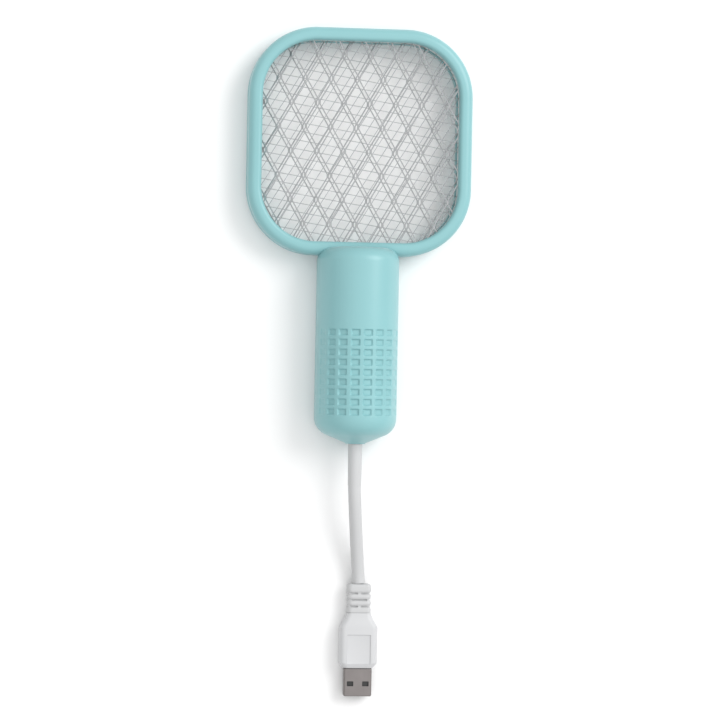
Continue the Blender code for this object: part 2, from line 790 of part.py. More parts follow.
def rear_shell():
    angles = [math.radians(30 * step) for step in range(7)]
    shell = loft("rear_shell", handle_rings(angles), "mint_plastic")
    hollow_with_rim(shell, "rear", (PARTING_Z - GAP / 2, 50 * MM))
    for i, place in enumerate(screw_places(), 1):
        join(shell, pillar(f"rear_post_{i}", place, POST_RADIUS, (WALL / 2, PARTING_Z - 2 * GAP)))
        cut(shell, pillar(f"rear_pilot_{i}", place, SCREW_RADIUS + GAP, (-1 * MM, 20 * MM)))
        sink = (-1 * MM, SCREW_HEAD_Z[1] + GAP)
        cut(shell, pillar(f"rear_sink_{i}", place, SCREW_HEAD_RADIUS + 0.3 * MM, sink))
    dish = ((DISH_RADIUS + 1.0 * MM, -0.5 * MM), (DISH_RADIUS - 1.0 * MM, DISH_DEPTH))
    hole = ((BUTTON_RADIUS + GAP, -1 * MM), (BUTTON_RADIUS + GAP, 4 * MM))
    cut(shell, turned("button_dish", dish, (0, BUTTON_Y, 0), (0, 0, 1), sides=24))
    cut(shell, turned("button_hole", hole, (0, BUTTON_Y, 0), (0, 0, 1), sides=24))


def shell_screws():
    """Pan-headed screws that hold the rear shell to the front shell's posts."""
    bottom, under_head = SCREW_HEAD_Z
    profile = (
        (SCREW_HEAD_RADIUS * 0.75, bottom),
        (SCREW_HEAD_RADIUS, bottom + 0.7 * MM),
        (SCREW_HEAD_RADIUS, under_head),
        (SCREW_RADIUS, under_head),
        (SCREW_RADIUS, SCREW_TOP_Z - 1.2 * MM),
        (SCREW_RADIUS * 0.3, SCREW_TOP_Z),
    )
    for i, (x, y) in enumerate(screw_places(), 1):
        screw = turned(f"handle_screw_{i}", profile, (x, y, 0), (0, 0, 1), "screw_steel", 12)
        for across in (0, 1):
            half = (1.3 * MM, 0.25 * MM)[::-1 if across else 1]
            low = (x - half[0], y - half[1], 0)
            high = (x + half[0], y + half[1], bottom + 0.7 * MM)
            cut(screw, box(f"screw_{i}_drive_{across}", low, high))


# ---------------------------------------------------------------- controls


def push_button():
    """The cap in the back, and the tact switch that it presses."""
    flange_z = WALL + GAP
    profile = (
        (BUTTON_RADIUS - 0.5 * MM, BUTTON_FACE_Z),
        (BUTTON_RADIUS, BUTTON_FACE_Z + 0.4 * MM),
        (BUTTON_RADIUS, flange_z),
        (BUTTON_FLANGE_RADIUS, flange_z),
        (BUTTON_FLANGE_RADIUS, flange_z + 0.8 * MM),
    )
    turned("button_cap", profile, (0, BUTTON_Y, 0), (0, 0, 1), "mint_plastic", 24)
    plunger_z = flange_z + 0.8 * MM + GAP
    plunger_top = plunger_z + 2.0 * MM
    body_z = (plunger_z + BUTTON_TRAVEL, BOARD_Z[0] - GAP)
    low = (-3 * MM, BUTTON_Y - 3 * MM, body_z[0])
    high = (3 * MM, BUTTON_Y + 3 * MM, body_z[1])
    body = box("tact_switch_body", low, high, "component_black")
    well = ((2.0 * MM, body_z[0] - 1 * MM), (2.0 * MM, plunger_top + BUTTON_TRAVEL + GAP))
    cut(body, turned("tact_switch_well", well, (0, BUTTON_Y, 0), (0, 0, 1)))
    stem = ((1.7 * MM, plunger_z), (1.7 * MM, plunger_top))
    turned("tact_switch_plunger", stem, (0, BUTTON_Y, 0), (0, 0, 1), "white_plastic", 16)


def power_switch():
    """The sliding knob in the side wall, and the switch body on the board behind it."""
    body_x = (8.4 * MM, 12.4 * MM)
    low = (body_x[0], SWITCH_Y - 4.3 * MM, PART_Z)
    high = (body_x[1], SWITCH_Y + 4.3 * MM, PART_Z + 3.6 * MM)
    box("slide_switch_body", low, high, "screw_steel", 0.2 * MM)
    start_y = SWITCH_Y - SWITCH_TRAVEL / 2
    flange_x = (HANDLE_RADIUS - WALL - GAP - 0.8 * MM, HANDLE_RADIUS - WALL - GAP)
    half_z = SLOT_HALF_Z - GAP
    low = (flange_x[0] + 0.2 * MM, start_y - KNOB_HALF_Y, SWITCH_Z - half_z)
    high = (KNOB_OUT_X, start_y + KNOB_HALF_Y, SWITCH_Z + half_z)
    knob = box("slide_switch_knob", low, high, "white_plastic", 0.3 * MM)
    low = (flange_x[0], start_y - 6 * MM, SWITCH_Z - 2.9 * MM)
    high = (flange_x[1], start_y + 6 * MM, SWITCH_Z + 0.4 * MM + SLOT_HALF_Z)
    join(knob, box("knob_flange", low, high))
    low = (body_x[1] + GAP, start_y - 1.0 * MM, SWITCH_Z - 0.9 * MM)
    high = (flange_x[0] + 0.4 * MM, start_y + 1.0 * MM, SWITCH_Z + 0.9 * MM)
    join(knob, box("knob_arm", low, high))
    for rib in (-1, 0, 1):
        y = start_y + rib * 1.5 * MM
        low = (KNOB_OUT_X - 0.4 * MM, y - 0.3 * MM, SWITCH_Z - 3 * MM)
        high = (KNOB_OUT_X + 1.0 * MM, y + 0.3 * MM, SWITCH_Z + 3 * MM)
        cut(knob, box(f"knob_groove_{rib + 2}", low, high))


def charge_light():
    """A light pipe through the side wall, and the lamp behind it."""
    low = (10.6 * MM, LIGHT_Y - 0.9 * MM, PART_Z)
    high = (12.6 * MM, LIGHT_Y + 0.9 * MM, PART_Z + 2.4 * MM)
    box("charge_lamp", low, high, "white_plastic", 0.2 * MM)
    profile = (
        (LIGHT_RADIUS + 0.6 * MM, 13.2 * MM),
        (LIGHT_RADIUS + 0.6 * MM, 13.9 * MM),
        (LIGHT_RADIUS, 13.9 * MM),
        (LIGHT_RADIUS, HANDLE_RADIUS - 0.3 * MM),
        (LIGHT_RADIUS - 0.3 * MM, HANDLE_RADIUS - 0.05 * MM),
    )
    turned("light_pipe", profile, (0, LIGHT_Y, LIGHT_Z), (1, 0, 0), "clear_plastic", 12)


# ---------------------------------------------------------------- circuit


def on_board(name, centre, size, finish, bevel=0.0):
    """A block that stands on the circuit board."""
    (x, y), (dx, dy, dz) = centre, size
    low = (x - dx / 2, y - dy / 2, PART_Z)
    high = (x + dx / 2, y + dy / 2, PART_Z + dz)
    return box(name, low, high, finish, bevel)


def circuit_board():
    low = (-BOARD_HALF_X, BOARD_Y[0], BOARD_Z[0])
    high = (BOARD_HALF_X, BOARD_Y[1], BOARD_Z[1])
    box("circuit_board", low, high, "board_green")


def transformer():
    """The step-up transformer: a ferrite core with two windows, and the coil in them."""
    x, y = -4.0 * MM, -24.6 * MM
    z = PART_Z + 5.2 * MM
    low = (x - 6.5 * MM, y - 2.0 * MM, PART_Z + 0.2 * MM)
    high = (x + 6.5 * MM, y + 2.0 * MM, PART_Z + 10.2 * MM)
    core = box("transformer_core", low, high, "ferrite")
    for side in (-1, 1):
        middle = x + side * 3.4 * MM
        low = (middle - 1.6 * MM, y - 5 * MM, z - 3.3 * MM)
        high = (middle + 1.6 * MM, y + 5 * MM, z + 3.3 * MM)
        cut(core, box(f"core_window_{side + 2}", low, high))
    outline = []
    for half_x, half_y in ((4.6 * MM, 4.0 * MM), (2.1 * MM, 2.4 * MM)):
        corners = ((-1, -1), (1, -1), (1, 1), (-1, 1))
        outline.append([(x + i * half_x, y + j * half_y) for i, j in corners])
    (outer, inner), (low, high) = outline, (z - 3.0 * MM, z + 3.0 * MM)
    levels = ((outer, low), (outer, high), (inner, high), (inner, low))
    rings = [[(px, py, level) for px, py in loop] for loop, level in levels]
    loft("transformer_coil", rings, "coil_tape", closed=True)


def axial_part(name, ends_x, y, body, finish):
    """A diode or resistor: a round body on a wire that is bent down at both ends."""
    half, radius = body
    wire = 0.35 * MM
    height = PART_Z + radius + 0.4 * MM
    middle = sum(ends_x) / 2
    profile = (
        (wire, ends_x[0]),
        (wire, middle - half),
        (radius, middle - half + 0.2 * MM),
        (radius, middle + half - 0.2 * MM),
        (wire, middle + half),
        (wire, ends_x[1]),
    )
    made = turned(name, profile, (0, y, height), (1, 0, 0), finish, 8)
    for i, x in enumerate(ends_x, 1):
        inside = x + (0.5 * MM if i == 1 else -0.5 * MM)
        low = (inside - 0.3 * MM, y - 0.25 * MM, PART_Z)
        high = (inside + 0.3 * MM, y + 0.25 * MM, height)
        join(made, box(f"{name}_leg_{i}", low, high))


def small_parts():
    """The doubler's capacitor and diodes, the bleed resistor, the transistor and the chip."""
    for name, (centre, size, finish, bevel) in BOARD_BLOCKS.items():
        on_board(name, centre, size, finish, bevel)
    for i in range(DIODES):
        y = DIODE_FIRST_Y - i * DIODE_PITCH
        axial_part(f"rectifier_diode_{i + 1}", DIODE_ENDS_X, y, DIODE_BODY, "component_black")
    axial_part("bleed_resistor", RESISTOR_ENDS_X, RESISTOR_Y, RESISTOR_BODY, "resistor_tan")


def cell_and_tabs():
    """The lithium cell and the nickel tabs welded to its ends."""
    low, high = CELL_Y
    chamfer = 0.5 * MM
    profile = (
        (CELL_RADIUS - chamfer, 0),
        (CELL_RADIUS, chamfer),
        (CELL_RADIUS, high - low - chamfer),
        (CELL_RADIUS - chamfer, high - low),
    )
    turned("lithium_cell", profile, (0, low, CELL_Z), (0, 1, 0), "cell_sleeve", 20)
    thickness = 0.3 * MM
    places = (("cell_tab_positive", high + GAP), ("cell_tab_negative", low - GAP - thickness))
    for name, y in places:
        low_corner = (-3 * MM, y, CELL_Z - 4 * MM)
        box(name, low_corner, (3 * MM, y + thickness, CELL_Z + 7 * MM), "nickel")


def inner_wires():
    """Wires inside the handle, each ending just short of what it is soldered to."""
    for name, (finish, points) in INNER_WIRES.items():
        route = [(x * MM, y * MM, z * MM) for x, y, z in points]
        tube(name, smooth_points(route, 3), INNER_WIRE_RADIUS, finish, 1)


# ---------------------------------------------------------------- lead and plug


def strain_relief():
    """The moulded sleeve on the lead, with the flange that is held inside the handle's tip."""
    far, near = RELIEF_FLANGE_Y
    profile = (
        (RELIEF_FLANGE_RADIUS, -near),
        (RELIEF_FLANGE_RADIUS, -far),
        (RELIEF_RADIUS, -far),
        (RELIEF_RADIUS, -TIP_Y),
        (RELIEF_END_RADIUS, -TIP_Y + RELIEF_LENGTH),
    )
    turned("lead_strain_relief", profile, (0, 0, AXIS_Z), (0, -1, 0), "lead_white", 16)


def lead():
    """The lead's free stretch, from the strain relief's end to the plug's boot."""
    start_y = TIP_Y - RELIEF_LENGTH - GAP
    points = [point for point in LEAD_ROUTE if point[1] < start_y]
    tube("power_lead", [(0, start_y, AXIS_Z), *points], LEAD_RADIUS, "lead_white", 3)


def plug_outline(half_width_at):
    """A symmetrical outline from positions and half-widths."""
    right = [(PLUG_X + half, y) for y, half in half_width_at]
    left = [(PLUG_X - half, y) for y, half in reversed(half_width_at)]
    return right + left


def plug_boot():
    """The plug's flexible boot, with staggered slots across it."""
    half_width, half_height = BOOT_HALF
    low = (PLUG_X - half_width, BOOT_Y[0], PLUG_Z - half_height)
    high = (PLUG_X + half_width, BOOT_Y[1], PLUG_Z + half_height)
    boot = box("plug_boot", low, high, "lead_white", 1.0 * MM)
    spans = [(x0, x1, y) for y, across in BOOT_SLOTS for x0, x1 in across]
    for i, (x0, x1, y) in enumerate(spans, 1):
        for side in (-1, 1):
            z = sorted((PLUG_Z + side * BOOT_CORE_HALF, PLUG_Z + side * 2 * half_height))
            low = (PLUG_X + x0, y - BOOT_SLOT_HALF, z[0])
            high = (PLUG_X + x1, y + BOOT_SLOT_HALF, z[1])
            cut(boot, box(f"boot_slot_{i}_{side}", low, high))


def plug_body():
    """The moulded body that the fingers hold, with a shallow panel pressed into it."""
    straight_end, straight_start = BODY_STRAIGHT_Y
    half_width_at = (
        *BODY_NECK,
        (straight_start, BODY_HALF_WIDTH),
        (straight_end, BODY_HALF_WIDTH),
        (BODY_Y[0], BODY_END_HALF_WIDTH),
    )
    outline = plug_outline(half_width_at)
    rings = [[(x, y, z) for x, y in outline] for z in (0.0, 2 * PLUG_Z)]
    body = loft("plug_body", rings, "white_plastic")
    round_edges(body, 0.9 * MM, 2)
    low = (PLUG_X - PANEL_HALF_WIDTH, PANEL_Y[0], 2 * PLUG_Z - PANEL_DEPTH)
    high = (PLUG_X + PANEL_HALF_WIDTH, PANEL_Y[1], 3 * PLUG_Z)
    cut(body, box("plug_panel", low, high))


def plug_shell():
    """The standard plug's metal sleeve, with its latch windows."""
    half_width, half_height = PLUG_SHELL_HALF
    low = (PLUG_X - half_width, PLUG_SHELL_Y[0], PLUG_Z - half_height)
    high = (PLUG_X + half_width, PLUG_SHELL_Y[1], PLUG_Z + half_height)
    shell = box("plug_shell", low, high, "plug_steel")
    wall = PLUG_SHELL_WALL
    low = (low[0] + wall, low[1] - 1 * MM, low[2] + wall)
    high = (high[0] - wall, high[1] - 0.8 * MM, high[2] - wall)
    cut(shell, box("plug_shell_inside", low, high))
    for i, x in enumerate(WINDOW_XS, 1):
        low = (PLUG_X + x - WINDOW_HALF_WIDTH, WINDOW_Y[0], PLUG_Z - 2 * half_height)
        high = (PLUG_X + x + WINDOW_HALF_WIDTH, WINDOW_Y[1], PLUG_Z + 2 * half_height)
        cut(shell, box(f"latch_windows_{i}", low, high))


def plug_inside():
    """The tongue inside the plug, and its four contacts."""
    low_z, high_z = PLUG_Z - 0.15 * MM, PLUG_Z + 1.65 * MM
    low = (PLUG_X - 5.4 * MM, PLUG_SHELL_Y[0] + 1.5 * MM, low_z)
    high = (PLUG_X + 5.4 * MM, PLUG_SHELL_Y[1] - 1.1 * MM, high_z)
    box("plug_tongue", low, high, "white_plastic", 0.2 * MM)
    for i, x in enumerate(CONTACT_XS, 1):
        low = (PLUG_X + x - 0.5 * MM, PLUG_SHELL_Y[0] + 2.2 * MM, low_z - GAP - 0.2 * MM)
        high = (PLUG_X + x + 0.5 * MM, PLUG_SHELL_Y[1] - 1.4 * MM, low_z - GAP)
        box(f"plug_contact_{i}", low, high, "contact_gold")


def main():
    for existing in list(bpy.data.objects):
        bpy.data.objects.remove(existing)
    front_shell()
    rear_shell()
    shell_screws()
    meshes()
    spacer_frames()
    push_button()
    power_switch()
    charge_light()
    circuit_board()
    transformer()
    small_parts()
    cell_and_tabs()
    inner_wires()
    strain_relief()
    lead()
    plug_boot()
    plug_body()
    plug_shell()
    plug_inside()


main()
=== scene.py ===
"""Looks of a pocket electric fly swatter: metres, +Z up, head at +Y."""

import json
import math

import bmesh
import bpy
from mathutils import Matrix, Vector, noise


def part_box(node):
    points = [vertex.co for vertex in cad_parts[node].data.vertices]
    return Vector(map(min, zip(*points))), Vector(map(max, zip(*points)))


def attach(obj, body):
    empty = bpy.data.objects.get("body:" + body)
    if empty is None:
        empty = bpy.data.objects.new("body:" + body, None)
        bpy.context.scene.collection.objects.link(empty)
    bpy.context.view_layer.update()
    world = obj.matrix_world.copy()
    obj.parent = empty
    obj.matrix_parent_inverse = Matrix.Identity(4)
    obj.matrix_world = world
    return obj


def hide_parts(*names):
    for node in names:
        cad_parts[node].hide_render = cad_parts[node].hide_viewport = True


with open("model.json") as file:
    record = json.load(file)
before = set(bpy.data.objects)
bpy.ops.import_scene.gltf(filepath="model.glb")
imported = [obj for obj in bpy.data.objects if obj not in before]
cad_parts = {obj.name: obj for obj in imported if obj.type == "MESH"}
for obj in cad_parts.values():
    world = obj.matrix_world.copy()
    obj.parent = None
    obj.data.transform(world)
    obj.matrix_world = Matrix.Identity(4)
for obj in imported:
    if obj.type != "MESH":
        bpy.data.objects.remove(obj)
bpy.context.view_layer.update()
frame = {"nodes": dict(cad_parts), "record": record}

MM = 0.001
GAP = 0.3 * MM
OVERCUT = 1.0 * MM  # how far a cutter reaches past what it cuts

# ---------- sizes taken from the frame

FRONT_LOW, FRONT_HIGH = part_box("front_shell")
SPACER_LOW, SPACER_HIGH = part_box("front_spacer_frame")
GRID_LOW, GRID_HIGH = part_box("inner_grid")
RELIEF_LOW, RELIEF_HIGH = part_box("lead_strain_relief")
SCREW_LOW, SCREW_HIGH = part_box("handle_screw_1")
BUTTON_LOW, BUTTON_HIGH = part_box("button_cap")
KNOB_LOW, KNOB_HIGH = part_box("slide_switch_knob")
PIPE_LOW, PIPE_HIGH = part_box("light_pipe")
BOOT_LOW, BOOT_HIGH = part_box("plug_boot")
BODY_LOW, BODY_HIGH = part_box("plug_body")
SLEEVE_LOW, SLEEVE_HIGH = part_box("plug_shell")

HEAD_WIDTH = FRONT_HIGH.x - FRONT_LOW.x
SPACER_INSET = FRONT_HIGH.y - SPACER_HIGH.y
HEAD_LENGTH = SPACER_HIGH.y - SPACER_LOW.y + 2 * SPACER_INSET
HEAD_CENTRE_Y = (SPACER_LOW.y + SPACER_HIGH.y) / 2
PARTING_Z = (GRID_LOW.z + GRID_HIGH.z) / 2
HEAD_DEPTH = 2 * PARTING_Z
TIP_Y = FRONT_LOW.y
AXIS_Z = (RELIEF_LOW.z + RELIEF_HIGH.z) / 2
HANDLE_RADIUS = FRONT_HIGH.z - AXIS_Z
PLUG_X = (SLEEVE_LOW.x + SLEEVE_HIGH.x) / 2
PLUG_Z = (SLEEVE_LOW.z + SLEEVE_HIGH.z) / 2

# ---------- sizes of the finer shapes

HEAD_CORNER = 29.0 * MM
RIM_WIDTH = 5.7 * MM
RIM_WALL = 2.0 * MM
RIM_OUTER_ROUND = 3.2 * MM
RIM_INNER_ROUND = 1.8 * MM
RIM_BACK_ROUND = 1.8 * MM
CHANNEL_HALF = 3.1 * MM
PASSAGE_HALF_WIDTH = 8.0 * MM
PASSAGE_Y = (-10.5 * MM, -5.8 * MM)
PARTING_BEVEL = 0.15 * MM
EDGE_ROUND = 0.4 * MM
CORNER_STEPS = 36
ARC_STEPS = 8
SHARP_ANGLE = math.radians(35)

BACK_ROUND = 7.0 * MM
SHOULDER_Y = -5.0 * MM
SHOULDER_ROUND = 6.0 * MM
TIP_RADIUS = 4.2 * MM
TIP_LIP = 0.3 * MM
LIP_ROUND = 0.2 * MM
TAIL_ROUND = 8.0 * MM
TAIL_SLOPE = math.radians(68)
WALL = 2.0 * MM
CAVITY_Y = (-80.0 * MM, -9.5 * MM)
RELIEF_RADIUS = 3.05 * MM
RELIEF_END_RADIUS = 2.85 * MM
RELIEF_FLANGE = 2.7 * MM

GRIP_COLUMNS = 8
GRIP_ROWS = 9
GRIP_TOP_Y = -39.75 * MM
GRIP_ROW_PITCH = 4.2 * MM
GRIP_ROW_HEIGHT = 3.1 * MM
GRIP_COLUMN_PITCH = math.radians(18.15)
GRIP_COLUMN_WIDTH = math.radians(13.8)
GRIP_DEPTH = 0.75 * MM
GRIP_OUTER_DEPTH = 0.25 * MM
GRIP_SOFTNESS = 0.65 * MM
GRIP_MARGINS = (0.8 * MM, 0.2 * MM)

SCREWS = 4
SCREW_RADIUS = 1.2 * MM
SCREW_HEAD_RADIUS = 2.2 * MM
SCREW_HEAD_HEIGHT = 1.7 * MM
DRIVE_HALF_LENGTH = 1.3 * MM
DRIVE_HALF_WIDTH = 0.3 * MM
DRIVE_DEPTH = 1.1 * MM
THREAD_CORE_RADIUS = 0.9 * MM
THREAD_PITCH = 0.7 * MM
SINK_RADIUS = 2.5 * MM
POST_RADIUS = 2.7 * MM
POST_TOP_Z = 20.5 * MM

BUTTON_Y = (BUTTON_LOW.y + BUTTON_HIGH.y) / 2
BUTTON_RADIUS = 5.0 * MM
DISH_RADIUS = 8.0 * MM
DISH_DEPTH = 0.5 * MM
DISH_EDGE = 1.6 * MM
BUTTON_FLANGE = 0.8 * MM
# The hollow in its face: radii, and heights above the rim
BUTTON_FACE = (
    (0.4 * MM, 0.35 * MM),
    (1.8 * MM, 0.3 * MM),
    (3.2 * MM, 0.14 * MM),
    (3.9 * MM, 0.02 * MM),
)

KNOB_HALF_Y = 3.0 * MM
KNOB_TRAVEL = 3.0 * MM
KNOB_RIB_PITCH = 1.5 * MM
KNOB_GROOVE_RADIUS = 0.38 * MM
KNOB_EDGE = 0.45 * MM
KNOB_FLANGE = 0.8 * MM
ARM_HALF_Y = 1.0 * MM
ARM_HALF_Z = 0.9 * MM
KNOB_Y = (KNOB_LOW.y + KNOB_HIGH.y) / 2
SLOT_HALF_Z = 1.9 * MM
SLOT_Z = (PIPE_LOW.z + PIPE_HIGH.z) / 2
PIPE_Y = (PIPE_LOW.y + PIPE_HIGH.y) / 2
PIPE_RADIUS = 1.2 * MM
PIPE_FLANGE = 0.7 * MM
PIPE_DOME = 0.35 * MM
LIGHT_HOLE_X = (13 * MM, 20 * MM)

# Plug: positions along it and half-widths, then the details of its pieces
PLUG_NECK = (
    (-161.08 * MM, 5.1 * MM),
    (-162.6 * MM, 5.5 * MM),
    (-164.6 * MM, 6.5 * MM),
    (-167.0 * MM, 7.9 * MM),
    (-168.4 * MM, 8.1 * MM),
)
PLUG_SHOULDER_Y = -182.6 * MM
PLUG_END_HALF_WIDTH = 6.4 * MM
PLUG_EDGE = 2.3 * MM
PANEL_Y = (-183.0 * MM, -170.4 * MM)
PANEL_HALF_WIDTH = 5.1 * MM
PANEL_DEPTH = 0.4 * MM
PAIR_OF_SLOTS = ((-4.6 * MM, -0.6 * MM), (0.6 * MM, 4.6 * MM))
BOOT_SLOTS = (
    (-152.8 * MM, PAIR_OF_SLOTS),
    (-155.6 * MM, ((-3.4 * MM, 3.4 * MM),)),
    (-158.4 * MM, PAIR_OF_SLOTS),
)
BOOT_SLOT_HALF = 0.4 * MM
BOOT_CORNER = 1.9 * MM
BOOT_END_ROUND = 1.2 * MM
BOOT_PINCH = 0.5 * MM  # how much slimmer it is at each row of slots
BOOT_PINCH_REACH = 0.75 * MM
BOOT_CORE_HALF = 2.4 * MM
SLEEVE_WALL = 0.3 * MM
SLEEVE_CORNER = 0.7 * MM
SEAM_HALF_WIDTH = 0.08 * MM
SEAM_DEPTH = 0.12 * MM
MOUTH_LENGTH = 0.7 * MM  # the stretch that narrows at the open end
MOUTH_DRAW = 0.35 * MM
WINDOW_XS = (-3.3 * MM, 3.3 * MM)
WINDOW_HALF_WIDTH = 1.4 * MM
WINDOW_Y = (-192.6 * MM, -190.5 * MM)
CONTACTS = 4

# Guards of expanded metal, and the fine grid of round wire between them
GUARD_ANGLE = math.radians(61.6)
GUARD_PITCH = 9.85 * MM
GUARD_HALF_X = GUARD_PITCH / math.sin(GUARD_ANGLE) / 2
GUARD_HALF_Y = GUARD_PITCH / math.cos(GUARD_ANGLE) / 2
GUARD_WIDTH = 0.43 * MM
GUARD_BOND = 1.5 * MM  # how far two strands run side by side where they meet
GUARD_THICKNESS = 0.4 * MM
GUARD_WANDER = 0.12 * MM  # strands aren't perfectly even
GUARD_SEED = 7
GUARD_TWIST = -0.36 * MM  # how far each strand's left side stands above its right side
TAB_HALF_WIDTH = 1.5 * MM
TAB_Y = (-12.5 * MM, -5.0 * MM)
GUARD_TAB_X = -5.0 * MM
GRID_TAB_X = 5.0 * MM
GUARD_CROSSING = Vector((4.6 * MM, 16.6 * MM))
REAR_GUARD_SHIFT = Vector((-1.0 * MM, 0.0))
GRID_ANGLES = (-9.0, 58.5)
GRID_PITCHES = (3.78 * MM, 3.67 * MM)
GRID_WIRE_RADIUS = 0.15 * MM
GRID_WIRE_SIDES = 6

# The lead's way from the handle's tip to the plug, as in the model
LEAD_DIAMETER = 5.5 * MM
LEAD_ROUTE = (
    (0.0000, -0.0886, 0.0120),
    (0.0000, -0.0931, 0.0120),
    (0.0000, -0.0976, 0.0120),
    (0.0000, -0.1021, 0.0120),
    (0.0000, -0.1066, 0.0120),
    (0.0002, -0.1108, 0.0118),
    (0.0005, -0.1150, 0.0112),
    (0.0008, -0.1192, 0.0103),
    (0.0012, -0.1234, 0.0093),
    (0.0016, -0.1276, 0.0081),
    (0.0020, -0.1317, 0.0070),
    (0.0024, -0.1359, 0.0059),
    (0.0028, -0.1401, 0.0050),
    (0.0032, -0.1443, 0.0044),
    (0.0036, -0.1485, 0.0042),
)

# Camera and lights
VIEW_TILT = math.radians(7.0)  # the camera stands a little to the object's left
VIEW_ROLL = math.radians(1.09)
VIEW_WIDTH = 0.3081  # what the picture's width takes in at the aim point
VIEW_DISTANCE = 1.3
VIEW_AIM = Vector((0.00197, -0.0529, 0.007))
KEY_PLACE = (1.45, 0.85, 1.5)
KEY_SIZE = 1.5
KEY_POWER = 28.0
WORLD_HORIZON = 0.28  # the world's strength level with the object
WORLD_RISE = 0.98  # how much brighter it is overhead, and as much below


# ---------- materials


class Recipe:
    """A Principled material whose colour, roughness and bump come from procedural nodes."""

    def __init__(self, name, colour, metallic=0.0, roughness=0.4):
        self.made = bpy.data.materials.new(name)
        self.made.use_nodes = True
        self.nodes = self.made.node_tree.nodes
        self.links = self.made.node_tree.links
        self.shader = self.nodes["Principled BSDF"]
        self.shader.inputs["Base Color"].default_value = (*colour, 1.0)
        self.shader.inputs["Metallic"].default_value = metallic
        self.shader.inputs["Roughness"].default_value = roughness
        self.place = self.nodes.new("ShaderNodeTexCoord").outputs["Object"]
        self.last_bump = None

    def stretched(self, scale):
        """Object coordinates, stretched so that a pattern runs along an axis."""
        mapping = self.nodes.new("ShaderNodeMapping")
        mapping.inputs["Scale"].default_value = scale
        self.links.new(self.place, mapping.inputs["Vector"])
        return mapping.outputs["Vector"]

    def noise(self, scale, detail=3.0, place=None):
        texture = self.nodes.new("ShaderNodeTexNoise")
        texture.inputs["Scale"].default_value = scale
        texture.inputs["Detail"].default_value = detail
        self.links.new(place or self.place, texture.inputs["Vector"])
        return texture.outputs["Fac"]

    def ramp(self, source, low, high):
        """Turns a 0 to 1 pattern into one between two colours."""
        mix = self.nodes.new("ShaderNodeMix")
        mix.data_type = "RGBA"
        mix.inputs["A"].default_value = (*low, 1.0)
        mix.inputs["B"].default_value = (*high, 1.0)
        self.links.new(source, mix.inputs["Factor"])
        return mix.outputs["Result"]

    def span(self, source, low, high):
        """Turns a 0 to 1 pattern into one between two numbers."""
        mapped = self.nodes.new("ShaderNodeMapRange")
        mapped.inputs["To Min"].default_value = low
        mapped.inputs["To Max"].default_value = high
        self.links.new(source, mapped.inputs["Value"])
        return mapped.outputs["Result"]

    def colour(self, source, low, high):
        self.links.new(self.ramp(source, low, high), self.shader.inputs["Base Color"])

    def roughness(self, source, low, high):
        self.links.new(self.span(source, low, high), self.shader.inputs["Roughness"])

    def bump(self, source, distance):
        node = self.nodes.new("ShaderNodeBump")
        node.inputs["Distance"].default_value = distance
        self.links.new(source, node.inputs["Height"])
        if self.last_bump:
            self.links.new(self.last_bump, node.inputs["Normal"])
        self.links.new(node.outputs["Normal"], self.shader.inputs["Normal"])
        self.last_bump = node.outputs["Normal"]


def tint(colour, factor):
    return tuple(min(1.0, channel * factor) for channel in colour)


def moulded_plastic(name, colour, roughness, grain=0.012 * MM):
    """Moulded plastic: hardly varying colour, a fine spark-eroded grain and faint flow marks."""
    made = Recipe(name, colour, roughness=roughness)
    made.shader.inputs["Specular IOR Level"].default_value = 0.38
    made.colour(made.noise(35.0), tint(colour, 0.965), tint(colour, 1.035))
    made.roughness(made.noise(220.0), roughness - 0.05, roughness + 0.07)
    made.bump(made.noise(2600.0, 2.0), grain)
    made.bump(made.noise(60.0, 2.0), 0.03 * MM)
    return made.made


def drawn_metal(name, colour, roughness, along):
    """Drawn or rolled metal: fine lines along the axis of the smallest scale, and slight stains."""
    made = Recipe(name, colour, metallic=1.0, roughness=roughness)
    lines = made.noise(900.0, 4.0, made.stretched(along))
    made.colour(made.noise(140.0), tint(colour, 0.86), tint(colour, 1.12))
    made.roughness(lines, roughness - 0.08, roughness + 0.12)
    made.bump(lines, 0.01 * MM)
    return made.made


def coated(name, colour, roughness):
    """Small coated parts: a varying colour and an uneven skin."""
    made = Recipe(name, colour, roughness=roughness)
    made.colour(made.noise(400.0), tint(colour, 0.8), tint(colour, 1.15))
    made.roughness(made.noise(800.0), roughness - 0.08, roughness + 0.1)
    made.bump(made.noise(1600.0), 0.02 * MM)
    return made.made


def clear_plastic(name, colour, roughness):
    made = Recipe(name, colour, roughness=roughness)
    made.shader.inputs["Transmission Weight"].default_value = 0.8
    made.shader.inputs["IOR"].default_value = 1.49
    made.roughness(made.noise(500.0), roughness - 0.04, roughness + 0.08)
    return made.made


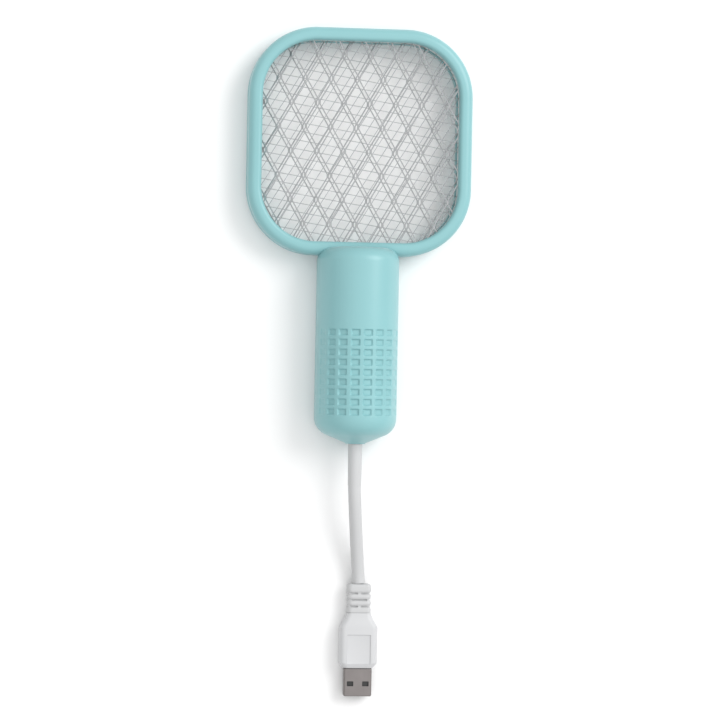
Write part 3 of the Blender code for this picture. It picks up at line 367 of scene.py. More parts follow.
# How each finish is made, its colour, its roughness and what else its maker takes
FINISH_RECIPES = {
    "mint_plastic": (moulded_plastic, (0.25, 0.495, 0.515), 0.3),
    "white_plastic": (moulded_plastic, (0.585, 0.59, 0.6), 0.38),
    "lead_white": (moulded_plastic, (0.54, 0.545, 0.55), 0.48, 0.02 * MM),
    "spacer_plastic": (moulded_plastic, (0.75, 0.78, 0.78), 0.5),
    "mesh_steel": (drawn_metal, (0.46, 0.47, 0.48), 0.3, (1.0, 0.2, 1.0)),
    "screw_steel": (drawn_metal, (0.5, 0.5, 0.51), 0.3, (1.0, 1.0, 0.2)),
    "plug_steel": (drawn_metal, (0.25, 0.23, 0.225), 0.42, (1.0, 0.08, 1.0)),
    "nickel": (drawn_metal, (0.6, 0.58, 0.54), 0.3, (0.1, 1.0, 1.0)),
    "contact_gold": (drawn_metal, (0.8, 0.58, 0.22), 0.25, (1.0, 0.1, 1.0)),
    "board_green": (coated, (0.03, 0.22, 0.1), 0.4),
    "cell_sleeve": (coated, (0.1, 0.24, 0.55), 0.35),
    "ferrite": (coated, (0.05, 0.05, 0.05), 0.6),
    "coil_tape": (coated, (0.8, 0.62, 0.1), 0.5),
    "capacitor_red": (coated, (0.45, 0.06, 0.03), 0.35),
    "component_black": (coated, (0.03, 0.03, 0.03), 0.4),
    "resistor_tan": (coated, (0.62, 0.48, 0.28), 0.45),
    "wire_red": (coated, (0.6, 0.03, 0.03), 0.4),
    "wire_black": (coated, (0.02, 0.02, 0.02), 0.4),
    "clear_plastic": (clear_plastic, (0.85, 0.88, 0.88), 0.12),
}
FINISHES = {name: maker(name, *values) for name, (maker, *values) in FINISH_RECIPES.items()}


def finish_carried_nodes():
    """Gives every node that stays its procedural material."""
    for entry in frame["record"]["subparts"]:
        node = frame["nodes"][entry["node"]]
        node.data.materials.clear()
        node.data.materials.append(FINISHES[entry["material_slot"]])


# ---------- mesh helpers


def shade(mesh):
    """Smooth faces, parted by sharp edges where they meet at more than SHARP_ANGLE."""
    mesh.shade_smooth()
    mesh.set_sharp_from_angle(angle=SHARP_ANGLE)


def finished_object(name, shape):
    bmesh.ops.recalc_face_normals(shape, faces=shape.faces)
    mesh = bpy.data.meshes.new(name)
    shape.to_mesh(mesh)
    shape.free()
    made = bpy.data.objects.new(name, mesh)
    bpy.context.scene.collection.objects.link(made)
    shade(mesh)
    return made


def loft(name, rings, closed=False):
    """A skin over rings of points, capped at both ends unless the rings close on themselves."""
    shape = bmesh.new()
    made = [[shape.verts.new(point) for point in ring] for ring in rings]
    pairs = list(zip(made, made[1:]))
    if closed:
        pairs.append((made[-1], made[0]))
    for here, there in pairs:
        for i, vertex in enumerate(here):
            following = (i + 1) % len(here)
            shape.faces.new((vertex, here[following], there[following], there[i]))
    if not closed:
        shape.faces.new(made[0])
        shape.faces.new(made[-1])
    return finished_object(name, shape)


def box(name, low, high):
    (x0, y0, z0), (x1, y1, z1) = low, high
    outline = ((x0, y0), (x1, y0), (x1, y1), (x0, y1))
    return loft(name, [[(x, y, z) for x, y in outline] for z in (z0, z1)])


def turned(name, profile, base, axis, sides=64):
    """A solid of revolution: radii at distances along the axis from the base point."""
    turn = Vector((0, 0, 1)).rotation_difference(Vector(axis)).to_matrix()
    rings = []
    for radius, distance in profile:
        ring = []
        for i in range(sides):
            step = 2 * math.pi * i / sides
            local = Vector((radius * math.cos(step), radius * math.sin(step), distance))
            ring.append(Vector(base) + turn @ local)
        rings.append(ring)
    return loft(name, rings)


def cylinder(name, radius, span, base, axis=(0, 0, 1), sides=40):
    """A round cutter or post, between two distances along the axis."""
    return turned(name, [(radius, distance) for distance in span], base, axis, sides=sides)


def together(name, pieces):
    """Joins several objects into one, without a Boolean."""
    shape = bmesh.new()
    for piece in pieces:
        shape.from_mesh(piece.data)
        bpy.data.objects.remove(piece)
    return finished_object(name, shape)


def boolean(target, operation, tools):
    """Applies the tools to the target, and bakes the result."""
    tool = together("boolean_tool", tools)
    modifier = target.modifiers.new("boolean", "BOOLEAN")
    modifier.operation = operation
    modifier.solver = "EXACT"
    modifier.object = tool
    bake(target)
    bpy.data.objects.remove(tool)


def cut(target, *tools):
    boolean(target, "DIFFERENCE", tools)


def join(target, *tools):
    boolean(target, "UNION", tools)


def bevel(target, width, segments=3, angle=40):
    modifier = target.modifiers.new("bevel", "BEVEL")
    modifier.width = width
    modifier.segments = segments
    modifier.limit_method = "ANGLE"
    modifier.angle_limit = math.radians(angle)
    bake(target)


def bake(target):
    """Replaces the mesh by what its modifiers make of it."""
    graph = bpy.context.evaluated_depsgraph_get()
    mesh = bpy.data.meshes.new_from_object(target.evaluated_get(graph))
    target.modifiers.clear()
    target.data = mesh
    shade(mesh)


def stand_for(piece, slot, node, body="swatter"):
    """The piece rides on the body in place of this node, in the record's finish."""
    piece.data.materials.append(FINISHES[slot])
    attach(piece, body)
    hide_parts(node)
    return piece


def arc(centre, radius, start, end, steps=ARC_STEPS):
    """Points on a circular arc, from one angle in degrees to another."""
    found = []
    for step in range(steps + 1):
        angle = math.radians(start + (end - start) * step / steps)
        found.append((centre[0] + radius * math.cos(angle), centre[1] + radius * math.sin(angle)))
    return found


def round_cornered(centre, half_x, half_y, radius, steps):
    """A rectangle with round corners, anticlockwise from its right side."""
    points = []
    for quarter, (sign_x, sign_y) in enumerate(((1, 1), (-1, 1), (-1, -1), (1, -1))):
        corner = (centre[0] + sign_x * (half_x - radius), centre[1] + sign_y * (half_y - radius))
        points += arc(corner, radius, 90 * quarter, 90 * (quarter + 1), steps)
    return points


def lerp(start, end, share):
    return start + (end - start) * share


def smoothstep(value):
    value = max(0.0, min(1.0, value))
    return value * value * (3 - 2 * value)


def smooth_points(points, steps):
    """Points along the Catmull-Rom curve through a route's points."""
    chain = [Vector(point) for point in points]
    chain = [2 * chain[0] - chain[1], *chain, 2 * chain[-1] - chain[-2]]
    found = [chain[1]]
    for before, start, end, after in zip(chain, chain[1:], chain[2:], chain[3:]):
        for step in range(1, steps + 1):
            t = step / steps
            linear = (end - before) * t
            square = (2 * before - 5 * start + 4 * end - after) * t * t
            cube = (3 * start - before - 3 * end + after) * t**3
            found.append(start + (linear + square + cube) / 2)
    return found


# ---------- camera and cord, made first


def camera():
    data = bpy.data.cameras.new("camera")
    data.sensor_width = 36.0
    data.lens = data.sensor_width * VIEW_DISTANCE / VIEW_WIDTH
    data.clip_start = 0.01
    made = bpy.data.objects.new("camera", data)
    back = Vector((-math.sin(VIEW_TILT), 0.0, math.cos(VIEW_TILT)))
    right = Vector((math.cos(VIEW_TILT), 0.0, math.sin(VIEW_TILT)))
    up = back.cross(right)
    level = Matrix((right, up, back)).transposed()
    turn = level @ Matrix.Rotation(VIEW_ROLL, 3, "Z")
    made.matrix_world = Matrix.Translation(VIEW_AIM + back * VIEW_DISTANCE) @ turn.to_4x4()
    bpy.context.scene.collection.objects.link(made)
    bpy.context.scene.camera = made


def power_cord():
    """The lead as a curve along its own centreline."""
    curve = bpy.data.curves.new("power_cord", "CURVE")
    curve.dimensions = "3D"
    curve.bevel_depth = LEAD_DIAMETER / 2
    curve.bevel_resolution = 10
    curve.use_fill_caps = True
    points = smooth_points(LEAD_ROUTE, 4)
    spline = curve.splines.new("POLY")
    spline.points.add(len(points) - 1)
    for target, point in zip(spline.points, points):
        target.co = (*point, 1.0)
    spline.use_smooth = True
    made = bpy.data.objects.new("power_cord", curve)
    bpy.context.scene.collection.objects.link(made)
    return stand_for(made, "lead_white", "power_lead")


# ---------- head


def rounded_square(inset):
    """The head's outline, moved inwards, as x and y."""
    half_x, half_y = HEAD_WIDTH / 2 - inset, HEAD_LENGTH / 2 - inset
    return round_cornered((0, HEAD_CENTRE_Y), half_x, half_y, HEAD_CORNER - inset, CORNER_STEPS)


def ring(name, section):
    """A ring round the head: its section is a closed outline of insets and heights."""
    rings = [[(x, y, z) for x, y in rounded_square(inset)] for inset, z in section]
    return loft(name, rings, closed=True)


def rim_section():
    """The rim's outer form: rounded in front, nearly flat behind."""
    top = HEAD_DEPTH
    section = arc((RIM_BACK_ROUND, RIM_BACK_ROUND), RIM_BACK_ROUND, 270, 180)
    section += arc((RIM_OUTER_ROUND, top - RIM_OUTER_ROUND), RIM_OUTER_ROUND, 180, 90, 12)
    inner = RIM_WIDTH - RIM_INNER_ROUND
    section += arc((inner, top - RIM_INNER_ROUND), RIM_INNER_ROUND, 90, 0)
    edge = RIM_WIDTH - EDGE_ROUND
    section += arc((edge, EDGE_ROUND), EDGE_ROUND, 360, 270, 3)
    return section


def mesh_channel():
    """The channel round the inside of the rim that clamps the meshes."""
    low, high = PARTING_Z - CHANNEL_HALF, PARTING_Z + CHANNEL_HALF
    inner = RIM_WIDTH + 1.5 * MM
    return ring("channel", ((RIM_WALL, low), (RIM_WALL, high), (inner, high), (inner, low)))


def tab_passage():
    """The opening between the handle and the channel for the meshes' solder tabs."""
    half_z = CHANNEL_HALF - GAP
    low = (-PASSAGE_HALF_WIDTH, PASSAGE_Y[0], PARTING_Z - half_z)
    high = (PASSAGE_HALF_WIDTH, PASSAGE_Y[1], PARTING_Z + half_z)
    return box("tab_passage", low, high)


# ---------- handle


def grip_recess(y, angle):
    """How deep the grip is pressed in at this place: soft-edged squares in rows and columns."""
    row = round((GRIP_TOP_Y - GRIP_ROW_HEIGHT / 2 - y) / GRIP_ROW_PITCH)
    row = max(0, min(GRIP_ROWS - 1, row))
    row_middle = GRIP_TOP_Y - GRIP_ROW_HEIGHT / 2 - row * GRIP_ROW_PITCH
    first = math.pi / 2 - (GRIP_COLUMNS - 1) / 2 * GRIP_COLUMN_PITCH
    column = max(0, min(GRIP_COLUMNS - 1, round((angle - first) / GRIP_COLUMN_PITCH)))
    across = abs(angle - first - column * GRIP_COLUMN_PITCH) * HANDLE_RADIUS
    inside_x = GRIP_COLUMN_WIDTH / 2 * HANDLE_RADIUS - across
    inside_y = GRIP_ROW_HEIGHT / 2 - abs(y - row_middle)
    depth = GRIP_OUTER_DEPTH if column in (0, GRIP_COLUMNS - 1) else GRIP_DEPTH
    return depth * smoothstep(inside_x / GRIP_SOFTNESS) * smoothstep(inside_y / GRIP_SOFTNESS)


def handle_section(y, half_width, depth, back_round, dome_angles, gripped=False):
    """One cross-section of the handle: a half-round front and a flat back with round corners."""
    points = []
    for angle in dome_angles:
        radius = half_width - (grip_recess(y, angle) if gripped else 0.0)
        points.append((radius * math.cos(angle), y, AXIS_Z + radius * math.sin(angle)))
    inner_x = half_width - back_round
    level = AXIS_Z - depth + back_round
    for x, z in arc((-inner_x, level), back_round, 180, 270, 12):
        points.append((x, y, z))
    for x, z in arc((inner_x, level), back_round, 270, 360, 12):
        points.append((x, y, z))
    return points


def tail_stations():
    """The tail's positions and half-widths: a rounding, a cone, and a soft lip at the tip."""
    round_end = HANDLE_RADIUS - TAIL_ROUND * (1 - math.cos(TAIL_SLOPE))
    cone_length = (round_end - TIP_RADIUS) / math.tan(TAIL_SLOPE)
    straight_end = TIP_Y + TIP_LIP + cone_length + TAIL_ROUND * math.sin(TAIL_SLOPE)
    stations = []
    steps = 2 * ARC_STEPS
    for step in range(steps + 1):
        angle = TAIL_SLOPE * step / steps
        y = straight_end - TAIL_ROUND * math.sin(angle)
        stations.append((y, HANDLE_RADIUS - TAIL_ROUND * (1 - math.cos(angle))))
    for step in range(1, ARC_STEPS + 1):
        angle = math.pi / 2 * step / ARC_STEPS
        radius = TIP_RADIUS + LIP_ROUND * (math.cos(angle) - 0.5)
        stations.append((TIP_Y + TIP_LIP * (1 - math.sin(angle)), radius))
    return stations


def shoulder_stations():
    stations = []
    for step in range(2 * ARC_STEPS + 1):
        angle = math.pi / 2 * step / (2 * ARC_STEPS)
        y = SHOULDER_Y - SHOULDER_ROUND * (1 - math.cos(angle))
        stations.append((y, HANDLE_RADIUS - SHOULDER_ROUND * (1 - math.sin(angle))))
    return stations


def grip_ys():
    """Positions along the grip, close together at the edges of each row and just outside it."""
    bottom = GRIP_TOP_Y - (GRIP_ROWS - 1) * GRIP_ROW_PITCH - GRIP_ROW_HEIGHT
    found = [GRIP_TOP_Y + margin for margin in GRIP_MARGINS]
    for row in range(GRIP_ROWS):
        top = GRIP_TOP_Y - row * GRIP_ROW_PITCH
        for edge, direction in ((top, -1), (top - GRIP_ROW_HEIGHT, 1)):
            steps = [edge + direction * GRIP_SOFTNESS * step / 4 for step in range(5)]
            found += steps if direction < 0 else steps[::-1]
    return found + [bottom - margin for margin in reversed(GRIP_MARGINS)]


def dome_angles():
    """Angles over the dome, close together at the edges of each grip column."""
    soft = GRIP_SOFTNESS / HANDLE_RADIUS
    first = math.pi / 2 - (GRIP_COLUMNS - 1) / 2 * GRIP_COLUMN_PITCH
    found = [math.radians(degrees) for degrees in (0, 5, 10, 15)]
    for column in range(GRIP_COLUMNS):
        start = first + column * GRIP_COLUMN_PITCH - GRIP_COLUMN_WIDTH / 2
        end = start + GRIP_COLUMN_WIDTH
        found += [start + soft * step / 4 for step in range(5)]
        found += [lerp(start + soft, end - soft, share) for share in (0.25, 0.5, 0.75)]
        found += [end - soft * step / 4 for step in range(4, -1, -1)]
    return found + [math.radians(degrees) for degrees in (165, 170, 175, 180)]


def handle_form(name, gripped):
    """The whole outer form of the handle, as a solid."""
    angles = dome_angles()
    rings = [
        handle_section(y, half_width, AXIS_Z, BACK_ROUND, angles)
        for y, half_width in shoulder_stations()
    ]
    middle = grip_ys() if gripped else []
    rings += [handle_section(y, HANDLE_RADIUS, AXIS_Z, BACK_ROUND, angles, True) for y in middle]
    for y, half_width in tail_stations():
        share = (half_width - TIP_RADIUS) / (HANDLE_RADIUS - TIP_RADIUS)
        depth = lerp(TIP_RADIUS, AXIS_Z, share) if share > 0 else half_width
        back_round = (lerp(TIP_RADIUS, BACK_ROUND, share) if share > 0 else half_width) * 0.999
        rings.append(handle_section(y, half_width, depth, back_round, angles))
    return loft(name, rings)


def handle_cavity():
    angles = [math.pi * step / 24 for step in range(25)]
    inner = HANDLE_RADIUS - WALL
    ends = sorted(CAVITY_Y, reverse=True)
    rings = [handle_section(y, inner, AXIS_Z - WALL, BACK_ROUND - WALL, angles) for y in ends]
    return loft("cavity", rings)


def lead_passage():
    """The hole that the strain relief comes out of."""
    span = (-CAVITY_Y[0] - OVERCUT, -TIP_Y + 4 * OVERCUT)
    return cylinder("passage", RELIEF_RADIUS + GAP, span, (0, 0, AXIS_Z), (0, -1, 0), 64)


def half_space(z_range):
    return box("half", (-0.08, -0.12, z_range[0]), (0.08, 0.12, z_range[1]))


def screw_places():
    places = []
    for i in range(SCREWS):
        low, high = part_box(f"handle_screw_{i + 1}")
        places.append(((low.x + high.x) / 2, (low.y + high.y) / 2))
    return places


def pillars(name, radius, z_range):
    return [cylinder(name, radius, z_range, (x, y, 0)) for x, y in screw_places()]


def soften_parting(shell, height):
    """Bevels the edges where the two shells meet, so that a fine line shows there."""
    shape = bmesh.new()
    shape.from_mesh(shell.data)
    on_plane = {v for v in shape.verts if abs(v.co.z - height) < 0.001 * MM}
    edges = [edge for edge in shape.edges if on_plane.issuperset(edge.verts)]
    edges = [edge for edge in edges if edge.calc_face_angle(0.0) > math.radians(40)]
    bmesh.ops.bevel(
        shape,
        geom=edges,
        offset=PARTING_BEVEL,
        segments=2,
        profile=0.5,
        affect="EDGES",
        clamp_overlap=True,
    )
    shape.to_mesh(shell.data)
    shape.free()
    shade(shell.data)


def hollowed(shell, other_half, posts, pilots):
    """Hollows the handle, joins the rim, and takes the other shell's half away."""
    cut(shell, handle_cavity())
    cut(shell, lead_passage())
    join(shell, ring("rim", rim_section()))
    cut(shell, half_space(other_half))
    cut(shell, mesh_channel())
    cut(shell, tab_passage())
    join(shell, *posts)
    cut(shell, *pilots)


def front_shell():
    shell = handle_form("swatter_front", True)
    parting = PARTING_Z + GAP / 2
    posts = pillars("post", POST_RADIUS, (PARTING_Z + 2 * GAP, POST_TOP_Z))
    pilots = pillars("pilot", SCREW_RADIUS + GAP, (0, SCREW_HIGH.z + OVERCUT))
    hollowed(shell, (-0.01, parting), posts, pilots)
    half_y = KNOB_HALF_Y + KNOB_TRAVEL / 2 + 0.5 * MM
    slot_y = KNOB_Y + KNOB_TRAVEL / 2
    low = (HANDLE_RADIUS - 2 * WALL, slot_y - half_y, SLOT_Z - SLOT_HALF_Z)
    high = (HANDLE_RADIUS + WALL, slot_y + half_y, SLOT_Z + SLOT_HALF_Z)
    slot = box("slot", low, high)
    bevel(slot, 0.5 * MM)
    light = cylinder("light", PIPE_RADIUS + GAP, LIGHT_HOLE_X, (0, PIPE_Y, SLOT_Z), (1, 0, 0))
    cut(shell, slot, light)
    soften_parting(shell, parting)
    return stand_for(shell, "mint_plastic", "front_shell")


def rear_shell():
    shell = handle_form("swatter_rear", False)
    parting = PARTING_Z - GAP / 2
    posts = pillars("post", POST_RADIUS, (WALL / 2, PARTING_Z - 2 * GAP))
    pilots = pillars("pilot", SCREW_RADIUS + GAP, (-OVERCUT, POST_TOP_Z))
    hollowed(shell, (parting, 0.05), posts, pilots)
    sinks = pillars("sink", SINK_RADIUS, (-OVERCUT, SCREW_LOW.z + SCREW_HEAD_HEIGHT + GAP))
    cut(shell, *sinks)
    dish = [(DISH_RADIUS + 1.2 * MM, -0.6 * MM), (DISH_RADIUS, 0.0)]
    for share in (0.25, 0.5, 0.75, 1.0):
        depth = DISH_DEPTH * math.sin(share * math.pi / 2)
        dish.append((DISH_RADIUS - DISH_EDGE * share * share, depth))
    cut(shell, turned("dish", dish, (0, BUTTON_Y, 0), (0, 0, 1), sides=96))
    span = (-OVERCUT, 2 * WALL)
    hole = cylinder("hole", BUTTON_RADIUS + GAP, span, (0, BUTTON_Y, 0), sides=96)
    cut(shell, hole)
    soften_parting(shell, parting)
    return stand_for(shell, "mint_plastic", "rear_shell")


# ---------- meshes in the head


def guard_cell():
    """The six corners of a hole in the guard, seen from its centre: top, then clockwise."""
    strand_start = Vector((GUARD_HALF_X - GUARD_WIDTH / 2, GUARD_BOND / 2))
    strand_end = Vector((GUARD_WIDTH / 2, GUARD_HALF_Y - GUARD_BOND / 2))
    along = (strand_end - strand_start).normalized()
    edge = strand_start - Vector((along.y, -along.x)) * GUARD_WIDTH / 2
    side_x = GUARD_HALF_X - GUARD_WIDTH
    side_y = edge.y + along.y * (side_x - edge.x) / along.x
    top_y = edge.y - along.y * edge.x / along.x
    twist = GUARD_TWIST / 2
    return {
        "top": Vector((0, top_y, 0)),
        "upper_right": Vector((side_x, side_y, twist)),
        "lower_right": Vector((side_x, -side_y, twist)),
        "bottom": Vector((0, -top_y, 0)),
        "lower_left": Vector((-side_x, -side_y, -twist)),
        "upper_left": Vector((-side_x, side_y, -twist)),
    }


# Each face of the guard round one meeting place, as steps across and up to a hole's centre and
# which corner of that hole: the bond, its two pointed ends, and a strand up each way
GUARD_FACES = (
    ((-1, 0, "lower_right"), (1, 0, "lower_left"), (1, 0, "upper_left"), (-1, 0, "upper_right")),
    ((-1, 0, "upper_right"), (1, 0, "upper_left"), (0, 1, "bottom")),
    ((1, 0, "lower_left"), (-1, 0, "lower_right"), (0, -1, "top")),
    ((0, 1, "bottom"), (1, 0, "upper_left"), (1, 0, "top"), (0, 1, "lower_right")),
    ((0, 1, "bottom"), (0, 1, "lower_left"), (-1, 0, "top"), (-1, 0, "upper_right")),
)


def expanded_sheet(name, centre, height):
    """Expanded metal: strands that meet, run side by side for a little, and part again."""
    noise.seed_set(GUARD_SEED)
    cell = guard_cell()
    shape = bmesh.new()
    made = {}

    def corner(i, j, which):
        if (i, j, which) not in made:
            place = Vector((centre.x + i * GUARD_HALF_X, centre.y + j * GUARD_HALF_Y, height))
            place += cell[which]
            place += noise.noise_vector(place * 90.0) * GUARD_WANDER
            made[i, j, which] = shape.verts.new(place)
        return made[i, j, which]

    reach_x = math.ceil(HEAD_WIDTH / GUARD_HALF_X / 2) + 2
    reach_y = math.ceil(HEAD_LENGTH / GUARD_HALF_Y / 2) + 3
    for i in range(-reach_x, reach_x + 1):
        for j in range(-reach_y, reach_y + 1):
            if (i + j) % 2:
                continue
            for corners in GUARD_FACES:
                shape.faces.new([corner(i + x, j + y, which) for x, y, which in corners])
    sheet = finished_object(name, shape)
    solid = sheet.modifiers.new("thickness", "SOLIDIFY")
    solid.thickness = GUARD_THICKNESS
    solid.offset = 0.0
    bake(sheet)
    return sheet


def largest_piece(made):
    """Drops what the outline cut loose from the rest of the mesh."""
    shape = bmesh.new()
    shape.from_mesh(made.data)
    unseen = set(shape.verts)
    islands = []
    while unseen:
        island = set()
        waiting = [unseen.pop()]
        while waiting:
            vertex = waiting.pop()
            island.add(vertex)
            for edge in vertex.link_edges:
                other = edge.other_vert(vertex)
                if other in unseen:
                    unseen.remove(other)
                    waiting.append(other)
        islands.append(island)
    islands.sort(key=len, reverse=True)
    loose = [vertex for island in islands[1:] for vertex in island]
    bmesh.ops.delete(shape, geom=loose, context="VERTS")
    shape.to_mesh(made.data)
    shape.free()


def outline_block(inset, z_range):
    """The head's outline at this inset, as a block."""
    rings = [[(x, y, z) for x, y in rounded_square(inset)] for z in z_range]
    return loft("outline", rings)


def guard(node, name, shift):
    low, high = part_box(node)
    height = (low.z + high.z) / 2
    centre = Vector((0, HEAD_CENTRE_Y)) + GUARD_CROSSING + shift
    sheet = expanded_sheet(name, centre, height)
    boolean(sheet, "INTERSECT", [outline_block(SPACER_INSET, (low.z - OVERCUT, high.z + OVERCUT))])
    largest_piece(sheet)
    half_thickness = GUARD_THICKNESS / 2
    low_corner = (GUARD_TAB_X - TAB_HALF_WIDTH, TAB_Y[0], height - half_thickness)
    high_corner = (GUARD_TAB_X + TAB_HALF_WIDTH, TAB_Y[1], height + half_thickness)
    join(sheet, box("tab", low_corner, high_corner))
    bevel(sheet, 0.06 * MM, 1)
    stand_for(sheet, "mesh_steel", node)


def span_inside(point, direction, outline):
    """Where a line enters and leaves a convex outline that runs anticlockwise."""
    enter, leave = -1.0, 1.0
    for start, end in zip(outline, outline[1:] + outline[:1]):
        side = Vector(end) - Vector(start)
        if side.length < 0.001 * MM:
            continue
        rate = side.cross(direction)
        room = side.cross(point - Vector(start))
        if abs(rate) < 1e-12:
            if room < 0:
                return None
            continue
        crossing = -room / rate
        if rate > 0:
            enter = max(enter, crossing)
        else:
            leave = min(leave, crossing)
    return (enter, leave) if leave - enter > 4 * MM else None


def woven_wire(point, direction, span, knots):
    """A wire that passes over and under the wires it crosses at the knots."""
    first, pitch, phase = knots
    across = Vector((-direction.y, direction.x, 0))
    steps = max(2, round((span[1] - span[0]) / (pitch / 4)))
    rings = []
    for step in range(steps + 1):
        t = lerp(span[0], span[1], step / steps)
        rise = GRID_WIRE_RADIUS * math.cos(math.pi * ((t - first) / pitch + phase))
        middle = Vector((*(point + direction * t), PARTING_Z + rise))
        ring_points = []
        for side in range(GRID_WIRE_SIDES):
            angle = 2 * math.pi * side / GRID_WIRE_SIDES
            offset = across * math.cos(angle) + Vector((0, 0, math.sin(angle)))
            ring_points.append(middle + offset * GRID_WIRE_RADIUS)
        rings.append(ring_points)
    return loft("wire", rings)


def inner_grid():
    """The fine live grid: two families of round wires, woven over and under each other."""
    centre = Vector((0, HEAD_CENTRE_Y))
    outline = rounded_square(SPACER_INSET + 0.2 * MM)
    directions = []
    for degrees in GRID_ANGLES:
        angle = math.radians(degrees)
        directions.append(Vector((math.cos(angle), math.sin(angle))))
    between = abs(directions[0].cross(directions[1]))
    wires = []
    for family in (0, 1):
        direction, other = directions[family], directions[1 - family]
        normal = Vector((-direction.y, direction.x))
        other_normal = Vector((-other.y, other.x))
        pitch = GRID_PITCHES[1 - family] / between
        reach = math.ceil(HEAD_LENGTH / GRID_PITCHES[family])
        for i in range(-reach, reach + 1):
            point = centre + normal * i * GRID_PITCHES[family]
            span = span_inside(point, direction, outline)
            if not span:
                continue
            first = -(point - centre).dot(other_normal) / direction.dot(other_normal)
            knots = (first, pitch, i + family)
            wires.append(woven_wire(point, direction, span, knots))
    low = (GRID_TAB_X - TAB_HALF_WIDTH, TAB_Y[0], PARTING_Z - GRID_WIRE_RADIUS)
    high = (GRID_TAB_X + TAB_HALF_WIDTH, TAB_Y[1], PARTING_Z + GRID_WIRE_RADIUS)
    wires.append(box("tab", low, high))
    stand_for(together("live_grid", wires), "mesh_steel", "inner_grid")


def spacers():
    """The insulating frames between the live grid and the guards."""
    inner = RIM_WIDTH - GAP
    edge = 0.2 * MM
    for node in ("front_spacer_frame", "rear_spacer_frame"):
        low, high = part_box(node)
        bevelled = []
        for inset, z, step_in, step_z in (
            (SPACER_INSET, low.z, 1, 1),
            (SPACER_INSET, high.z, 1, -1),
            (inner, high.z, -1, -1),
            (inner, low.z, -1, 1),
        ):
            along = [(inset + step_in * edge, z), (inset, z + step_z * edge)]
            bevelled += along if step_in * step_z > 0 else along[::-1]
        frame_ring = ring(node.replace("_frame", ""), bevelled)
        stand_for(frame_ring, "spacer_plastic", node)


# ---------- screws and controls


def screws():
    """Pan-headed screws with a cross recess; their threads run up into the posts."""
    for i, (x, y) in enumerate(screw_places(), 1):
        low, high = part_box(f"handle_screw_{i}")
        face, top = low.z, high.z
        under_head = face + SCREW_HEAD_HEIGHT
        profile = [(0.3 * MM, face)]
        for share in (0.2, 0.4, 0.6, 0.8, 1.0):
            radius = SCREW_HEAD_RADIUS * math.sin(share * math.pi / 2)
            profile.append((radius, face + 0.7 * MM * (1 - math.cos(share * math.pi / 2))))
        profile.append((SCREW_HEAD_RADIUS, under_head - 0.1 * MM))
        profile += [(SCREW_HEAD_RADIUS - 0.1 * MM, under_head), (SCREW_RADIUS, under_head)]
        z = under_head + 0.6 * MM
        while z < top - 1.6 * MM:
            profile += [(THREAD_CORE_RADIUS, z), (SCREW_RADIUS, z + THREAD_PITCH / 2)]
            z += THREAD_PITCH
        profile += [(THREAD_CORE_RADIUS, z), (0.2 * MM, top)]
        screw = turned(f"screw_{i}", profile, (x, y, 0), (0, 0, 1), sides=40)
        slot = (DRIVE_HALF_LENGTH, DRIVE_HALF_WIDTH)
        for half_x, half_y in (slot, slot[::-1]):
            rings = []
            for z, share in ((face - 0.5 * MM, 1.15), (face + DRIVE_DEPTH, 0.55)):
                reach_x, reach_y = half_x * share, half_y * share
                signs = ((-1, -1), (1, -1), (1, 1), (-1, 1))
                rings.append([(x + a * reach_x, y + b * reach_y, z) for a, b in signs])
            cut(screw, loft("drive", rings))
        stand_for(screw, "screw_steel", f"handle_screw_{i}")


def button():
    """The push button's cap: a soft rim round a slightly hollow face, on a flange."""
    face, top = BUTTON_LOW.z, BUTTON_HIGH.z
    flange = top - BUTTON_FLANGE
    flange_radius = (BUTTON_HIGH.x - BUTTON_LOW.x) / 2
    profile = [(radius, face + rise) for radius, rise in BUTTON_FACE]
    edge = 0.7 * MM
    profile += [(r, face + z) for r, z in arc((BUTTON_RADIUS - edge, edge), edge, 270, 360)]
    profile += [(BUTTON_RADIUS, flange), (flange_radius - 0.2 * MM, flange)]
    profile += [(flange_radius, flange + 0.2 * MM), (flange_radius, top)]
    cap = turned("push_button", profile, (0, BUTTON_Y, 0), (0, 0, 1), sides=96)
    stand_for(cap, "mint_plastic", "button_cap", "button")


def knob():
    """The power switch's knob: a ribbed block on a flange behind the wall, with its arm."""
    flange_x = (HANDLE_RADIUS - WALL - GAP - KNOB_FLANGE, HANDLE_RADIUS - WALL - GAP)
    half_z = SLOT_HALF_Z - GAP
    low = (flange_x[0] + 0.2 * MM, KNOB_Y - KNOB_HALF_Y, SLOT_Z - half_z)
    block = box("switch_knob", low, (KNOB_HIGH.x, KNOB_Y + KNOB_HALF_Y, SLOT_Z + half_z))
    bevel(block, KNOB_EDGE, 4)
    grooves = []
    for rib in (-1, 0, 1):
        base = (KNOB_HIGH.x + 0.05 * MM, KNOB_Y + rib * KNOB_RIB_PITCH, SLOT_Z)
        grooves.append(cylinder("groove", KNOB_GROOVE_RADIUS, (-3 * MM, 3 * MM), base, sides=24))
    cut(block, *grooves)
    flange_low = (flange_x[0], KNOB_LOW.y, KNOB_LOW.z)
    join(block, box("flange", flange_low, (flange_x[1], KNOB_HIGH.y, KNOB_HIGH.z)))
    arm_low = (KNOB_LOW.x, KNOB_Y - ARM_HALF_Y, SLOT_Z - ARM_HALF_Z)
    arm_high = (flange_x[0] + KNOB_FLANGE / 2, KNOB_Y + ARM_HALF_Y, SLOT_Z + ARM_HALF_Z)
    join(block, box("arm", arm_low, arm_high))
    stand_for(block, "white_plastic", "slide_switch_knob", "power_knob")


